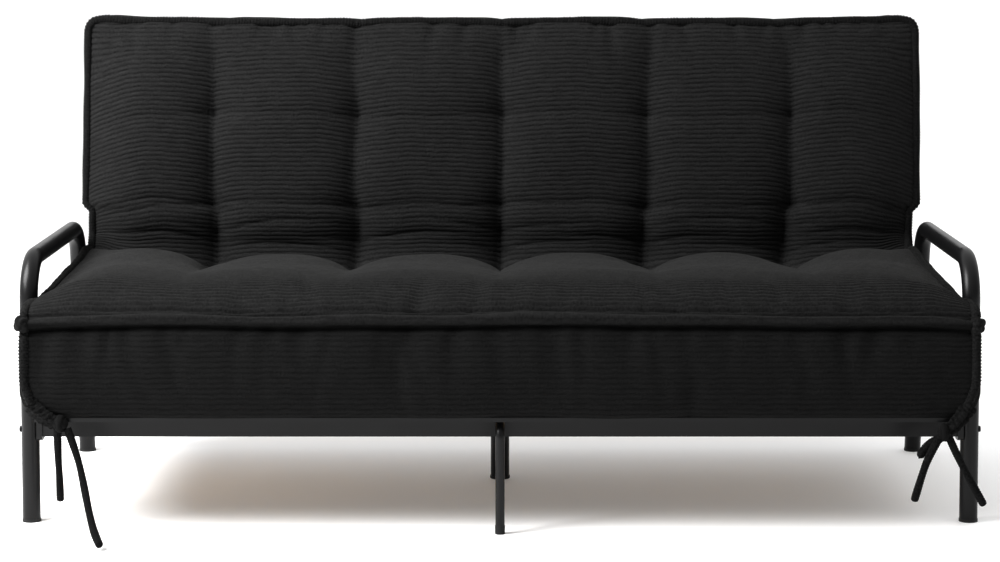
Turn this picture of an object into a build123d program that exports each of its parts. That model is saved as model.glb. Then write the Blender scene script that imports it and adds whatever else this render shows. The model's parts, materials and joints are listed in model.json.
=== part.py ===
"""Futon sofa bed with a steel hoop frame, a sliding seat deck and a folding back deck.

Millimetres. +Z is up, +Y is towards the back, and X runs along the seat. The origin lies
on the floor in the middle of the width and depth, and the rest pose is the sofa.
"""
from build123d import *
import os
from math import cos, pi, radians, sin, tan

os.makedirs("parts", exist_ok=True)

# ---------------------------------------------------------------- driving dimensions

# Arm hoops: one bent tube each, from the front foot over the armrest to the rear foot
hoop_spacing = 1960.0        # between the tube centres, left to right
hoop_tube = 38.0
hoop_wall = 1.5
arm_height = 548.0           # armrest centreline above the floor
arm_bend = 85.0              # centreline radius of both bends
foot_reach = 740.0           # front foot to rear foot
rear_lean = 11.9             # degrees the rear leg leans back

# Base rails
rail_height = 45.0
rail_width = 25.0
rail_wall = 1.5
rail_bottom = 181.0
side_rail_gap = 8.0          # between a side rail and the front rail's end
glide_height = 8.7
glide_length = 40.0
glide_front = 60.0           # first pad, behind the front legs
glide_rear = 100.0           # last pad, in front of the rear feet
glide_edge = 2.5
bracket_width = 8.0          # along the rail
bracket_depth = 34.0
bracket_drop = 8.0           # below the rail
bracket_bite = 4.0           # how far the saddle wraps round the leg
bolt_d = 8.0
bolt_hole = 8.4
bolt_height = 195.0
bolt_head_d = 13.0
bolt_head_h = 4.0
nut_plate = 6.0
bolt_past_nut = 4.0
bolt_socket_d = 5.0
bolt_socket_depth = 2.0

# Centre rear leg
centre_leg_d = 42.0
centre_leg_y = 430.0
flange_length = 80.0
flange_thickness = 4.0
flange_border = 4.0          # beside the leg
flange_corner = 6.0
flange_screw_d = 5.0
flange_screw_inset = 10.0    # from the flange's end
flange_screw_head_d = 9.0
flange_screw_head_h = 3.0

# Decks
deck_tube = 25.0
deck_wall = 1.5
seat_overhang = 135.0        # front of the deck in front of the front legs
seat_travel = 300.0
hinge_y = 800.0              # behind the front legs
hinge_setback = 40.0         # from the seat's rear tube to the hinge
back_length = 740.0          # from the hinge to the top of the back deck
back_start = 30.0            # from the hinge to the back's bottom tube
back_lean = 7.7              # degrees
slat_width = 53.0
slat_thickness = 8.0
slats_per_bay = 6
slat_corner = 4.0
holder_length = 28.0
holder_wall = 3.0
plug_flange = 2.0
plug_corner = 3.0

# Slide hooks
hook_thickness = 3.0
hook_length = 30.0
hook_stop_gap = 2.0          # from the front rail when the seat is fully out
hook_rear_gap = 15.0         # from the rear rail at rest
hook_weld = 4.0              # left bare at the top and bottom of the deck tube
hook_below = 6.0             # under the rail
hook_reach = 4.0             # past the rail's centre line
hook_step = 2.0              # where the hook turns in, under the deck

# Hinges
leaf_thickness = 5.0
leaf_inset = 0.5             # of the eye and the leaf's end inside the deck tube's height
leaf_end_inset = 2.0
leaf_length = 90.0
pin_d = 10.0
pin_gap = 0.05
pin_head_h = 4.0
pin_past_leaf = 8.0
ring_ratio = 1.6             # head, spacer and nut to the pin
lock_nut_h = 7.0

# Front rod leg
rod_d = 19.0
rod_overhang = 117.0         # in front of the front legs
rod_bend = 28.0
rod_rail_gap = 12.0          # in front of the front rail
rod_cap_height = 18.0
clamp_setback = 22.0         # in front of the rod's end
clamp_wall = 2.5
clamp_length = 20.0
clamp_screw_d = 5.0
clamp_screw_gap = 7.0        # from the clamp's ring and from its end
clamp_screw_head_d = 9.0
clamp_screw_head_h = 2.5
clamp_screw_past = 3.0
ear_thickness = 4.0

# Mattress
mattress_inset = 5.0         # inside each hoop's centre line
waist_gap = 4.0              # between the mattress and each hoop
mattress_overhang = 150.0    # in front of the front legs
seat_thickness = 250.0
seat_crown = 8.0
welt_drop = 66.0             # below the seat's top
welt_setback = 6.0
shoulder_setback = 55.0      # in front of the front legs
shoulder_drop = 2.0
shoulder_bend = (118.0, 27.0)        # in front of the legs, below the seat's top
seat_crown_y = 300.0         # behind the front legs
lip_droop = 16.0             # of the front lip below the deck's top
lip_setback = 1.5            # in front of the deck
seat_wide_gap = 5.0          # between the wide front and the hoop
back_thickness = 175.0
back_crown = 36.0
back_over = 36.0             # of the mattress above the back deck
back_front_drop = 16.0       # of the front top edge below the rear one, along the back
back_crown_shift = 115.0     # of the crown above the back's middle
back_edge = 12.0             # rounding of the top edge
rest_gap = 0.5               # between the mattress and the decks
crease_setback = 158.0       # in front of the hinge
crease_drop = 40.0           # below the seat's top
mitre_setback = 11.0         # of the mitre's foot in front of the hinge
cover_thickness = 3.0
mitre_gap = 7.0
arm_clearance = 15.0

# Ties
tie_d = 16.5
knot_d = 26.0
roll_d = 20.0                # gathered cloth between the corner and the knot
roll_setback = 3.0           # in front of the knot
knots = {"left": (-892.0, 234.0), "right": (902.0, 217.0)}           # X and Z
roll_starts = {"left": (29.0, 15.5), "right": (25.0, 13.5)}          # inside the side, above the lip

arc_share = 0.45             # of the shorter run beside a corner, that its arc may use

# Fits
clearance = 0.3
cap_height = 6.0
cap_proud = 0.8
cap_rim = 1.5                # rounded rim of the centre legs' caps
plug_depth = 18.0
plug_gap = 0.15

# ------------------------------------------------------------------- derived places

rail_top = rail_bottom + rail_height
rail_mid = rail_bottom + rail_height / 2
deck_bottom = rail_top + glide_height + clearance
deck_top = deck_bottom + deck_tube
deck_mid = deck_bottom + deck_tube / 2
hoop_x = hoop_spacing / 2
hoop_inner = hoop_x - hoop_tube / 2
hoop_outer = hoop_x + hoop_tube / 2
waist = hoop_inner - waist_gap
mattress_half_width = hoop_x - mattress_inset
back_top = back_length + back_over               # from the hinge, along the back
lean = radians(back_lean)

front_reach = mattress_overhang + knot_d / 2
rear_reach = hinge_y + back_length * sin(lean) + deck_tube / 2 * cos(lean)
leg_y = (front_reach - rear_reach) / 2          # the front legs stand on this line

rail_rear_y = leg_y + foot_reach - rail_mid * tan(radians(rear_lean))
rail_end = hoop_inner - bracket_width
hinge = Vector(0, leg_y + hinge_y, deck_mid)
seat_front = leg_y - seat_overhang
seat_rear = hinge.Y - hinge_setback             # rear face of the seat's rear tube
side_x = rail_end - side_rail_gap - rail_width / 2
tube_inner = side_x - deck_tube / 2
tube_outer = side_x + deck_tube / 2
leaf_eye = deck_tube / 2 - leaf_inset           # radius around the pin
leaf_end = deck_tube / 2 - leaf_end_inset
ring_d = pin_d * ring_ratio
back_plane = Plane(origin=hinge, x_dir=(1, 0, 0), z_dir=(0, -cos(lean), sin(lean)))


def on_back(along, out):
    """Side-view point (Y, Z) that lies `along` the back from the hinge and `out` in front."""
    return (
        hinge.Y + along * sin(lean) - out * cos(lean),
        hinge.Z + along * cos(lean) + out * sin(lean),
    )


def side_plane(x):
    """Plane at one X whose sketches are drawn as (Y, Z)."""
    return Plane(origin=(x, 0, 0), x_dir=(0, 1, 0), z_dir=(1, 0, 0))


def square_tube(plane, width, depth, length, wall):
    """Hollow rectangular tube along the plane's normal, starting on the plane."""
    with BuildPart() as tube:
        with BuildSketch(plane):
            Rectangle(width, depth)
            Rectangle(width - 2 * wall, depth - 2 * wall, mode=Mode.SUBTRACT)
        extrude(amount=length)
    return tube.part


def save(part, name):
    """Label one finished piece and write its STEP file."""
    part.label = name
    export_step(part, f"parts/{name}.step")


# ------------------------------------------------------------------------ arm hoops

rear_foot_y = leg_y + foot_reach
rear_corner_y = rear_foot_y - arm_height * tan(radians(rear_lean))
below = 60.0                 # how far a leg is carried under the floor before it is cut level
rear_below_y = rear_foot_y + below * tan(radians(rear_lean))
rear_leg_dir = Vector(0, sin(radians(rear_lean)), -cos(radians(rear_lean)))
rear_bolt_y = rear_foot_y - bolt_height * tan(radians(rear_lean))


def hoop_path(x):
    """Centreline of one hoop, carried below the floor so that the feet can be cut level."""
    return FilletPolyline(
        (x, leg_y, -below),
        (x, leg_y, arm_height),
        (x, rear_corner_y, arm_height),
        (x, rear_below_y, -below),
        radius=arm_bend,
    )


for side, side_name in ((-1, "left"), (1, "right")):
    x = side * hoop_x
    with BuildPart() as arm_hoop:
        with BuildLine():
            hoop_path(x)
        with BuildSketch(Plane(origin=(x, leg_y, -below), x_dir=(1, 0, 0), z_dir=(0, 0, 1))):
            Circle(hoop_tube / 2)
            Circle(hoop_tube / 2 - hoop_wall, mode=Mode.SUBTRACT)
        sweep()
        split(bisect_by=Plane.XY.offset(cap_height), keep=Keep.TOP)
        for bolt_y in (leg_y, rear_bolt_y):
            with Locations(Location((x, bolt_y, bolt_height), (0, 90, 0))):
                Cylinder(bolt_hole / 2, hoop_tube * 2, mode=Mode.SUBTRACT)
    save(arm_hoop.part, f"arm_hoop_{side_name}")


def foot_cap(x, y, direction):
    """Disc and plug that close the tube end whose centreline meets the floor at (x, y)."""
    start = Vector(x, y, 0) + direction * below
    plane = Plane(origin=start, x_dir=(1, 0, 0), z_dir=-direction)
    with BuildPart() as disc:
        with BuildSketch(plane):
            Circle(hoop_tube / 2 + cap_proud)
        extrude(amount=2 * below)
        split(bisect_by=Plane.XY.offset(cap_height), keep=Keep.BOTTOM)
        split(bisect_by=Plane.XY, keep=Keep.TOP)
    with BuildPart() as plug:
        with BuildSketch(plane):
            Circle(hoop_tube / 2 - hoop_wall - plug_gap)
        extrude(amount=2 * below)
        split(bisect_by=Plane.XY.offset(cap_height + plug_depth), keep=Keep.BOTTOM)
        split(bisect_by=Plane.XY.offset(cap_height / 2), keep=Keep.TOP)
    return disc.part + plug.part


def pair(pieces, name):
    """Save a left and a right piece as one node."""
    with BuildPart() as both:
        add(pieces)
    save(both.part, name)


pair([foot_cap(side * hoop_x, leg_y, Vector(0, 0, -1)) for side in (-1, 1)], "front_foot_caps")
pair([foot_cap(side * hoop_x, rear_foot_y, rear_leg_dir) for side in (-1, 1)], "rear_foot_caps")

# ----------------------------------------------------------------------- base rails

rail_lines = {"front": (leg_y, leg_y, 0.0), "rear": (rail_rear_y, rear_bolt_y, rear_lean)}

for rail_name, (rail_y, bolt_y, tilt) in rail_lines.items():
    start = Plane(origin=(-rail_end, rail_y, rail_mid), x_dir=(0, 1, 0), z_dir=(1, 0, 0))
    rail = square_tube(start, rail_width, rail_height, 2 * rail_end, rail_wall)
    save(rail, f"{rail_name}_rail")

    # saddle brackets between the rail's ends and the leg tubes
    with BuildPart() as rail_brackets:
        for side in (-1, 1):
            middle = side * (hoop_inner + (bracket_bite - bracket_width) / 2)
            with Locations((middle, rail_y, rail_mid - bracket_drop / 2)):
                Box(bracket_width + bracket_bite, bracket_depth, rail_height + bracket_drop)
            with Locations(Location((side * hoop_x, rail_y, rail_mid), (tilt, 0, 0))):
                Cylinder(hoop_tube / 2, 4 * rail_height, mode=Mode.SUBTRACT)
            with Locations(Location((side * rail_end, bolt_y, bolt_height), (0, 90, 0))):
                Cylinder(bolt_hole / 2, 4 * bracket_width, mode=Mode.SUBTRACT)
        corners = rail_brackets.edges().filter_by(Axis.X).group_by(Axis.Z)[0]
        fillet(corners, radius=bracket_drop)
    save(rail_brackets.part, f"{rail_name}_rail_brackets")

    # threaded plates welded inside the rail's ends
    with BuildPart() as nut_plates:
        for side in (-1, 1):
            with Locations((side * (rail_end - nut_plate / 2), rail_y, rail_mid)):
                Box(nut_plate, rail_width - 2 * rail_wall, rail_height - 2 * rail_wall)
            with Locations(Location((side * rail_end, bolt_y, bolt_height), (0, 90, 0))):
                Cylinder(bolt_d / 2, 4 * nut_plate, mode=Mode.SUBTRACT)
    save(nut_plates.part, f"{rail_name}_nut_plates")

bolt_tip = rail_end - nut_plate - bolt_past_nut
with BuildPart() as frame_bolts:
    for bolt_y in (leg_y, rear_bolt_y):
        for side in (-1, 1):
            head = Plane(origin=(side * hoop_outer, bolt_y, bolt_height), z_dir=(side, 0, 0))
            with BuildSketch(head):
                Circle(bolt_head_d / 2)
            extrude(amount=bolt_head_h)
            with BuildSketch(head):
                Circle(bolt_d / 2)
            extrude(amount=-(hoop_outer - bolt_tip))
    ends = frame_bolts.faces().filter_by(Axis.X)
    domes = ends.filter_by(lambda face: abs(face.center().X) > hoop_outer + clearance)
    fillet(domes.edges(), radius=bolt_head_h / 2)
    with Locations(*[Location(f.center(), (0, 90, 0)) for f in domes]):
        Cylinder(bolt_socket_d / 2, 2 * bolt_socket_depth, mode=Mode.SUBTRACT)
save(frame_bolts.part, "frame_bolts")

rail_run = rail_rear_y - leg_y - rail_width
for rail_name, x in (("left_side", -side_x), ("right_side", side_x), ("centre", 0.0)):
    start = Plane(origin=(x, leg_y + rail_width / 2, rail_mid), x_dir=(1, 0, 0), z_dir=(0, 1, 0))
    save(square_tube(start, rail_width, rail_height, rail_run, rail_wall), f"{rail_name}_rail")

# nylon pads under the seat deck
first_glide = leg_y + glide_front
last_glide = rear_foot_y - glide_rear
with BuildPart() as slide_glides:
    for x in (-side_x, 0.0, side_x):
        for glide_y in (first_glide, (first_glide + last_glide) / 2, last_glide):
            with Locations((x, glide_y, rail_top + glide_height / 2)):
                Box(rail_width, glide_length, glide_height)
    chamfer(slide_glides.faces().group_by(Axis.Z)[-1].edges().filter_by(Axis.X), length=glide_edge)
save(slide_glides.part, "slide_glides")

# --------------------------------------------------------------- centre rear leg

leg_top = rail_bottom - flange_thickness
with BuildPart() as centre_leg:
    with BuildSketch(Plane(origin=(0, leg_y + centre_leg_y, cap_height))):
        Circle(centre_leg_d / 2)
        Circle(centre_leg_d / 2 - hoop_wall, mode=Mode.SUBTRACT)
    extrude(amount=leg_top - cap_height)
save(centre_leg.part, "centre_leg")

with BuildPart() as centre_leg_flange:
    with BuildSketch(Plane(origin=(0, leg_y + centre_leg_y, leg_top))):
        RectangleRounded(centre_leg_d + 2 * flange_border, flange_length, flange_corner)
        with GridLocations(0, flange_length - 2 * flange_screw_inset, 1, 2):
            Circle(flange_screw_d / 2 + plug_gap, mode=Mode.SUBTRACT)
    extrude(amount=flange_thickness)
save(centre_leg_flange.part, "centre_leg_flange")

with BuildPart() as centre_leg_screws:
    for dy in (-1, 1):
        screw_y = leg_y + centre_leg_y + dy * (flange_length / 2 - flange_screw_inset)
        head = Plane(origin=(0, screw_y, leg_top))
        with BuildSketch(head):
            Circle(flange_screw_head_d / 2)
        extrude(amount=-flange_screw_head_h)
        with BuildSketch(head):
            Circle(flange_screw_d / 2)
        extrude(amount=flange_thickness)
save(centre_leg_screws.part, "centre_leg_screws")

with BuildPart() as centre_leg_cap:
    with BuildSketch(Plane(origin=(0, leg_y + centre_leg_y, 0))):
        Circle(centre_leg_d / 2 + cap_rim)
    extrude(amount=cap_height)
    fillet(centre_leg_cap.edges().group_by(Axis.Z)[0], radius=cap_rim)
    with BuildSketch(Plane(origin=(0, leg_y + centre_leg_y, cap_height))):
        Circle(centre_leg_d / 2 - hoop_wall - plug_gap)
    extrude(amount=plug_depth)
save(centre_leg_cap.part, "centre_leg_cap")

# ---------------------------------------------------------------------- deck frames

bay = (tube_inner - deck_tube / 2) / slats_per_bay
slat_xs = [side * (deck_tube / 2 + bay * (i + 0.5)) for side in (-1, 1) for i in range(slats_per_bay)]
holder_height = slat_thickness + 2 * holder_wall
holder_width = slat_width + 2 * holder_wall


def cross_tube(plane, half_length):
    """Deck tube along X, centred on the plane's origin."""
    start = Plane(origin=plane.origin - Vector(half_length, 0, 0), x_dir=(0, 1, 0), z_dir=(1, 0, 0))
    if plane.z_dir.Y < -0.5:
        start = Plane(origin=start.origin, x_dir=plane.z_dir, z_dir=(1, 0, 0))
    return square_tube(start, deck_tube, deck_tube, 2 * half_length, deck_wall)


def deck_slats(plane, near, far):
    """Slats lying from `near` to `far` along the plane's Y, tops flush with the tubes."""
    length = far - near - 2 * holder_wall
    middle = (near + far) / 2
    rise = deck_tube / 2 - holder_wall - slat_thickness / 2
    with BuildPart() as slats:
        with BuildSketch(plane.offset(rise - slat_thickness / 2)):
            with Locations(*[(x, middle) for x in slat_xs]):
                RectangleRounded(slat_width, length, slat_corner)
        extrude(amount=slat_thickness)
    return slats.part


def slat_holders(plane, near, far):
    """Moulded sockets on both cross tubes, one for each slat end."""
    rise = deck_tube / 2 - holder_height
    with BuildPart() as holders:
        with BuildSketch(plane.offset(rise)):
            for place in (near + holder_length / 2, far - holder_length / 2):
                with Locations(*[(x, place) for x in slat_xs]):
                    Rectangle(holder_width, holder_length)
        extrude(amount=holder_height)
        with BuildSketch(plane.offset(rise + holder_wall)):
            middle = (near + far) / 2
            with Locations(*[(x, middle) for x in slat_xs]):
                RectangleRounded(slat_width, far - near - 2 * holder_wall, slat_corner)
        extrude(amount=slat_thickness, mode=Mode.SUBTRACT)
    return holders.part


def end_plugs(tubes):
    """Plastic plugs in open tube ends, each given as a plane that faces out of the tube."""
    with BuildPart() as plugs:
        for plane in tubes:
            with BuildSketch(plane):
                RectangleRounded(deck_tube, deck_tube, plug_corner)
            extrude(amount=plug_flange)
            with BuildSketch(plane):
                inner = deck_tube - 2 * deck_wall - 2 * plug_gap
                Rectangle(inner, inner)
            extrude(amount=-plug_depth)
    return plugs.part


# ------------------------------------------------------------------------ seat deck

seat_plane = Plane(origin=(0, 0, deck_mid))
seat_front_mid = seat_front + deck_tube / 2
seat_rear_mid = seat_rear - deck_tube / 2
seat_near = seat_front + deck_tube
seat_far = seat_rear - deck_tube

front_line = Plane(origin=(0, seat_front_mid, deck_mid))
rear_line = Plane(origin=(0, seat_rear_mid, deck_mid))
save(cross_tube(front_line, tube_outer), "seat_front_tube")
save(cross_tube(rear_line, tube_inner - leaf_thickness), "seat_rear_tube")



def seat_run(x, far):
    """Seat tube that runs back at one X, from the front tube to `far`."""
    start = Plane(origin=(x, seat_near, deck_mid), x_dir=(1, 0, 0), z_dir=(0, 1, 0))
    return square_tube(start, deck_tube, deck_tube, far - seat_near, deck_wall)


pair([seat_run(side * side_x, seat_rear) for side in (-1, 1)], "seat_side_tubes")
save(seat_run(0, seat_far), "seat_centre_tube")

plug_planes = []
for side in (-1, 1):
    plug_planes.append(Plane(origin=(side * tube_outer, seat_front_mid, deck_mid), z_dir=(side, 0, 0)))
    plug_planes.append(Plane(origin=(side * side_x, seat_rear, deck_mid), x_dir=(1, 0, 0), z_dir=(0, 1, 0)))
save(end_plugs(plug_planes), "seat_tube_plugs")

save(deck_slats(seat_plane, seat_near, seat_far), "seat_slats")
save(slat_holders(seat_plane, seat_near, seat_far), "seat_slat_holders")

# hooks that hold the deck down on the side rails
front_hook = leg_y + rail_width / 2 + seat_travel + hook_length / 2 + hook_stop_gap
rear_hook = rail_rear_y - rail_width / 2 - hook_length / 2 - hook_rear_gap
with BuildPart() as slide_hooks:
    for side in (-1, 1):
        for hook_y in (front_hook, rear_hook):
            hook_start = Plane(origin=(0, hook_y - hook_length / 2, 0), x_dir=(1, 0, 0), z_dir=(0, -1, 0))
            with BuildSketch(hook_start):
                with BuildLine() as hook_line:
                    web = tube_inner - hook_thickness / 2
                    drop = web - hook_thickness
                    Polyline(
                        (side * web, deck_top - hook_weld),
                        (side * web, deck_bottom + hook_weld),
                        (side * drop, deck_bottom - hook_step),
                        (side * drop, rail_bottom - hook_below),
                        (side * (side_x + hook_reach), rail_bottom - hook_below),
                    )
                trace(line_width=hook_thickness)
            extrude(amount=-hook_length)
save(slide_hooks.part, "slide_hooks")

# ----------------------------------------------------------------------- back deck

back_near = back_start + deck_tube
back_far = back_length - deck_tube
low_middle = back_plane.from_local_coords((0, back_start + deck_tube / 2, 0))
top_middle = back_plane.from_local_coords((0, back_length - deck_tube / 2, 0))
save(cross_tube(Plane(origin=low_middle, z_dir=back_plane.z_dir), tube_inner), "back_bottom_tube")
save(cross_tube(Plane(origin=top_middle, z_dir=back_plane.z_dir), tube_outer), "back_top_tube")


def along_back(x, along):
    """Plane across the back at one distance from the hinge, facing its top."""
    origin = back_plane.from_local_coords((x, along, 0))
    return Plane(origin=origin, x_dir=(1, 0, 0), z_dir=back_plane.y_dir)


def back_run(x, near):
    """Back tube that runs up at one X, from `near` to the top tube."""
    return square_tube(along_back(x, near), deck_tube, deck_tube, back_far - near, deck_wall)


pair([back_run(side * side_x, back_start) for side in (-1, 1)], "back_side_tubes")
save(back_run(0, back_near), "back_centre_tube")

plug_planes = []
for side in (-1, 1):
    top_end = back_plane.from_local_coords((side * tube_outer, back_length - deck_tube / 2, 0))
    plug_planes.append(Plane(origin=top_end, x_dir=back_plane.y_dir, z_dir=(side, 0, 0)))
    low_end = along_back(side * side_x, back_start)
    plug_planes.append(Plane(origin=low_end.origin, x_dir=(1, 0, 0), z_dir=-low_end.z_dir))
save(end_plugs(plug_planes), "back_tube_plugs")

save(deck_slats(back_plane, back_near, back_far), "back_slats")
save(slat_holders(back_plane, back_near, back_far), "back_slat_holders")

# -------------------------------------------------------------------------- hinges

seat_leaf_x = tube_inner - leaf_thickness        # inner face of the seat's leaf
back_leaf_x = tube_outer                         # inner face of the back's leaf

with BuildPart() as seat_hinge_leaves:
    for side in (-1, 1):
        with BuildSketch(side_plane(side * (seat_leaf_x + leaf_thickness / 2))):
            with BuildLine():
                Polyline(
                    (hinge.Y - leaf_length, hinge.Z - leaf_end),
                    (hinge.Y, hinge.Z - leaf_eye),
                    (hinge.Y, hinge.Z + leaf_eye),
                    (hinge.Y - leaf_length, hinge.Z + leaf_end),
                    close=True,
                )
            make_face()
            with Locations((hinge.Y, hinge.Z)):
                Circle(leaf_eye)
                Circle(pin_d / 2 + pin_gap, mode=Mode.SUBTRACT)
        extrude(amount=leaf_thickness / 2, both=True)
save(seat_hinge_leaves.part, "seat_hinge_leaves")

with BuildPart() as back_hinge_leaves:
    for side in (-1, 1):
        with BuildSketch(side_plane(side * (back_leaf_x + leaf_thickness / 2))):
            with BuildLine():
                Polyline(
                    on_back(leaf_length, -leaf_end),
                    on_back(0, -leaf_eye),
                    on_back(0, leaf_eye),
                    on_back(leaf_length, leaf_end),
                    close=True,
                )
            make_face()
            with Locations((hinge.Y, hinge.Z)):
                Circle(leaf_eye)
                Circle(pin_d / 2, mode=Mode.SUBTRACT)
        extrude(amount=leaf_thickness / 2, both=True)
save(back_hinge_leaves.part, "back_hinge_leaves")

# each pin is headed outside the back's leaf and turns in the seat's leaf and its spacer
with BuildPart() as hinge_pins:
    for side in (-1, 1):
        outer = Plane(origin=(side * (back_leaf_x + leaf_thickness), hinge.Y, hinge.Z), z_dir=(side, 0, 0))
        with BuildSketch(outer):
            Circle(ring_d / 2)
        extrude(amount=pin_head_h)
        with BuildSketch(outer):
            Circle(pin_d / 2)
        extrude(amount=-(back_leaf_x + leaf_thickness - seat_leaf_x + pin_past_leaf))
save(hinge_pins.part, "hinge_pins")

with BuildPart() as hinge_spacers:
    for side in (-1, 1):
        inner = Plane(origin=(side * (tube_inner + clearance), hinge.Y, hinge.Z), z_dir=(side, 0, 0))
        with BuildSketch(inner):
            Circle(ring_d / 2)
            Circle(pin_d / 2, mode=Mode.SUBTRACT)
        extrude(amount=back_leaf_x - tube_inner - clearance)
save(hinge_spacers.part, "hinge_spacers")

with BuildPart() as hinge_lock_nuts:
    for side in (-1, 1):
        inner = Plane(origin=(side * (seat_leaf_x - clearance), hinge.Y, hinge.Z), z_dir=(-side, 0, 0))
        with BuildSketch(inner):
            RegularPolygon(ring_d / 2, 6, major_radius=False)
            Circle(pin_d / 2, mode=Mode.SUBTRACT)
        extrude(amount=lock_nut_h)
save(hinge_lock_nuts.part, "hinge_lock_nuts")

# -------------------------------------------------------------------- front rod leg

rod_y = leg_y - rod_overhang
rod_z = deck_bottom - rod_d / 2
rod_back = leg_y - rail_width / 2 - rod_rail_gap
with BuildPart() as support_leg:
    with BuildLine():
        FilletPolyline((0, rod_y, cap_height), (0, rod_y, rod_z), (0, rod_back, rod_z), radius=rod_bend)
    with BuildSketch(Plane(origin=(0, rod_y, cap_height))):
        Circle(rod_d / 2)
    sweep()
save(support_leg.part, "support_leg")

with BuildPart() as support_leg_cap:
    with BuildSketch():
        with Locations((0, rod_y)):
            Circle(rod_d / 2 + cap_proud)
    extrude(amount=rod_cap_height)
    with BuildSketch(Plane.XY.offset(cap_height)):
        with Locations((0, rod_y)):
            Circle(rod_d / 2)
    extrude(amount=rod_cap_height, mode=Mode.SUBTRACT)
    fillet(support_leg_cap.edges().group_by(Axis.Z)[0], radius=cap_rim)
save(support_leg_cap.part, "support_leg_cap")

clamp_y = rod_back - clamp_setback
clamp_screw_x = rod_d / 2 + clamp_wall + clamp_screw_gap
with BuildPart() as support_leg_clamp:
    clamp_start = Plane(origin=(0, clamp_y + clamp_length / 2, 0), x_dir=(1, 0, 0), z_dir=(0, -1, 0))
    with BuildSketch(clamp_start):
        with Locations((0, rod_z)):
            Circle(rod_d / 2 + clamp_wall)
        with Locations((0, deck_bottom - clamp_wall / 2)):
            Rectangle(2 * (clamp_screw_x + clamp_screw_gap), clamp_wall)
        with Locations((0, rod_z + rod_d)):
            Rectangle(4 * rod_d, rod_d, mode=Mode.SUBTRACT)
        with Locations((0, rod_z)):
            Circle(rod_d / 2, mode=Mode.SUBTRACT)
        with Locations((0, deck_bottom - rod_d / 4)):
            Rectangle(rod_d, rod_d / 2, mode=Mode.SUBTRACT)
    extrude(amount=clamp_length)
    with Locations((-clamp_screw_x, clamp_y, deck_bottom), (clamp_screw_x, clamp_y, deck_bottom)):
        Cylinder(clamp_screw_d / 2, 4 * clamp_wall, mode=Mode.SUBTRACT)
save(support_leg_clamp.part, "support_leg_clamp")

# ears welded beside the centre tube, which the clamp is screwed to
ear_width = clamp_screw_x + clamp_screw_gap - deck_tube / 2
with BuildPart() as clamp_ears:
    with BuildSketch(Plane.XY.offset(deck_bottom)):
        for side in (-1, 1):
            with Locations((side * (deck_tube + ear_width) / 2, clamp_y)):
                Rectangle(ear_width, clamp_length)
            with Locations((side * clamp_screw_x, clamp_y)):
                Circle(clamp_screw_d / 2, mode=Mode.SUBTRACT)
    extrude(amount=ear_thickness)
save(clamp_ears.part, "clamp_ears")

with BuildPart() as clamp_screws:
    for side in (-1, 1):
        head = Plane(origin=(side * clamp_screw_x, clamp_y, deck_bottom - clamp_wall), z_dir=(0, 0, -1))
        with BuildSketch(head):
            Circle(clamp_screw_head_d / 2)
        extrude(amount=clamp_screw_head_h)
        with BuildSketch(head):
            Circle(clamp_screw_d / 2)
        extrude(amount=-(clamp_wall + ear_thickness + clamp_screw_past))
save(clamp_screws.part, "clamp_screws")

# ------------------------------------------------------------------------- mattress

front_y = leg_y - mattress_overhang
front_foot = seat_front - lip_setback
seat_base = deck_top + rest_gap
seat_top = deck_top + seat_thickness
crease = (hinge.Y - crease_setback, seat_top - crease_drop)
mitre_foot = (hinge.Y - mitre_setback, seat_base)
mitre = Vector(crease[0] - mitre_foot[0], crease[1] - mitre_foot[1]).normalized()
mitre_normal = Vector(mitre.Y, -mitre.X)                 # towards the back half
half_gap = mitre_normal * (mitre_gap / 2)


def seat_profile():
    """Side view of the seat half: drooping front lip, steep front, crowned top, mitred end."""
    low = Vector(*mitre_foot) - half_gap
    high = Vector(*crease) - half_gap
    foot = low + mitre * ((seat_base - low.Y) / mitre.Y)
    lip_bottom = seat_base - lip_droop
    shoulder = (leg_y - shoulder_setback, seat_top - shoulder_drop)
    welt = (front_y + welt_setback, seat_top - welt_drop)
    middle = (front_y, (lip_bottom + seat_top - welt_drop) / 2)
    Line((foot.X, foot.Y), (front_foot, seat_base))
    Line((front_foot, seat_base), (front_foot, lip_bottom))
    ThreePointArc((front_foot, lip_bottom), middle, welt)
    ThreePointArc(welt, (leg_y - shoulder_bend[0], seat_top - shoulder_bend[1]), shoulder)
    ThreePointArc(shoulder, (leg_y + seat_crown_y, seat_top + seat_crown), (high.X, high.Y))
    Line((high.X, high.Y), (foot.X, foot.Y))


def back_profile():
    """Side view of the back half: flat on the deck, crowned front, mitred foot."""
    low = Vector(*mitre_foot) + half_gap
    high = Vector(*crease) + half_gap
    rest = deck_tube / 2 + rest_gap
    seam = deck_tube / 2 + back_thickness
    front_top = on_back(back_top - back_front_drop, seam - back_edge)
    base_line = Vector(*on_back(0, rest))
    up = Vector(sin(lean), cos(lean))
    # where the mitre meets the deck side
    normal = Vector(-up.Y, up.X)
    reach = (base_line - low).dot(normal) / mitre.dot(normal)
    foot = low + mitre * reach
    Line((foot.X, foot.Y), on_back(back_top, rest))
    Line(on_back(back_top, rest), front_top)
    ThreePointArc(
        front_top,
        on_back(back_top / 2 + back_crown_shift, seam + back_crown),
        (high.X, high.Y),
    )
    Line((high.X, high.Y), (foot.X, foot.Y))


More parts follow.
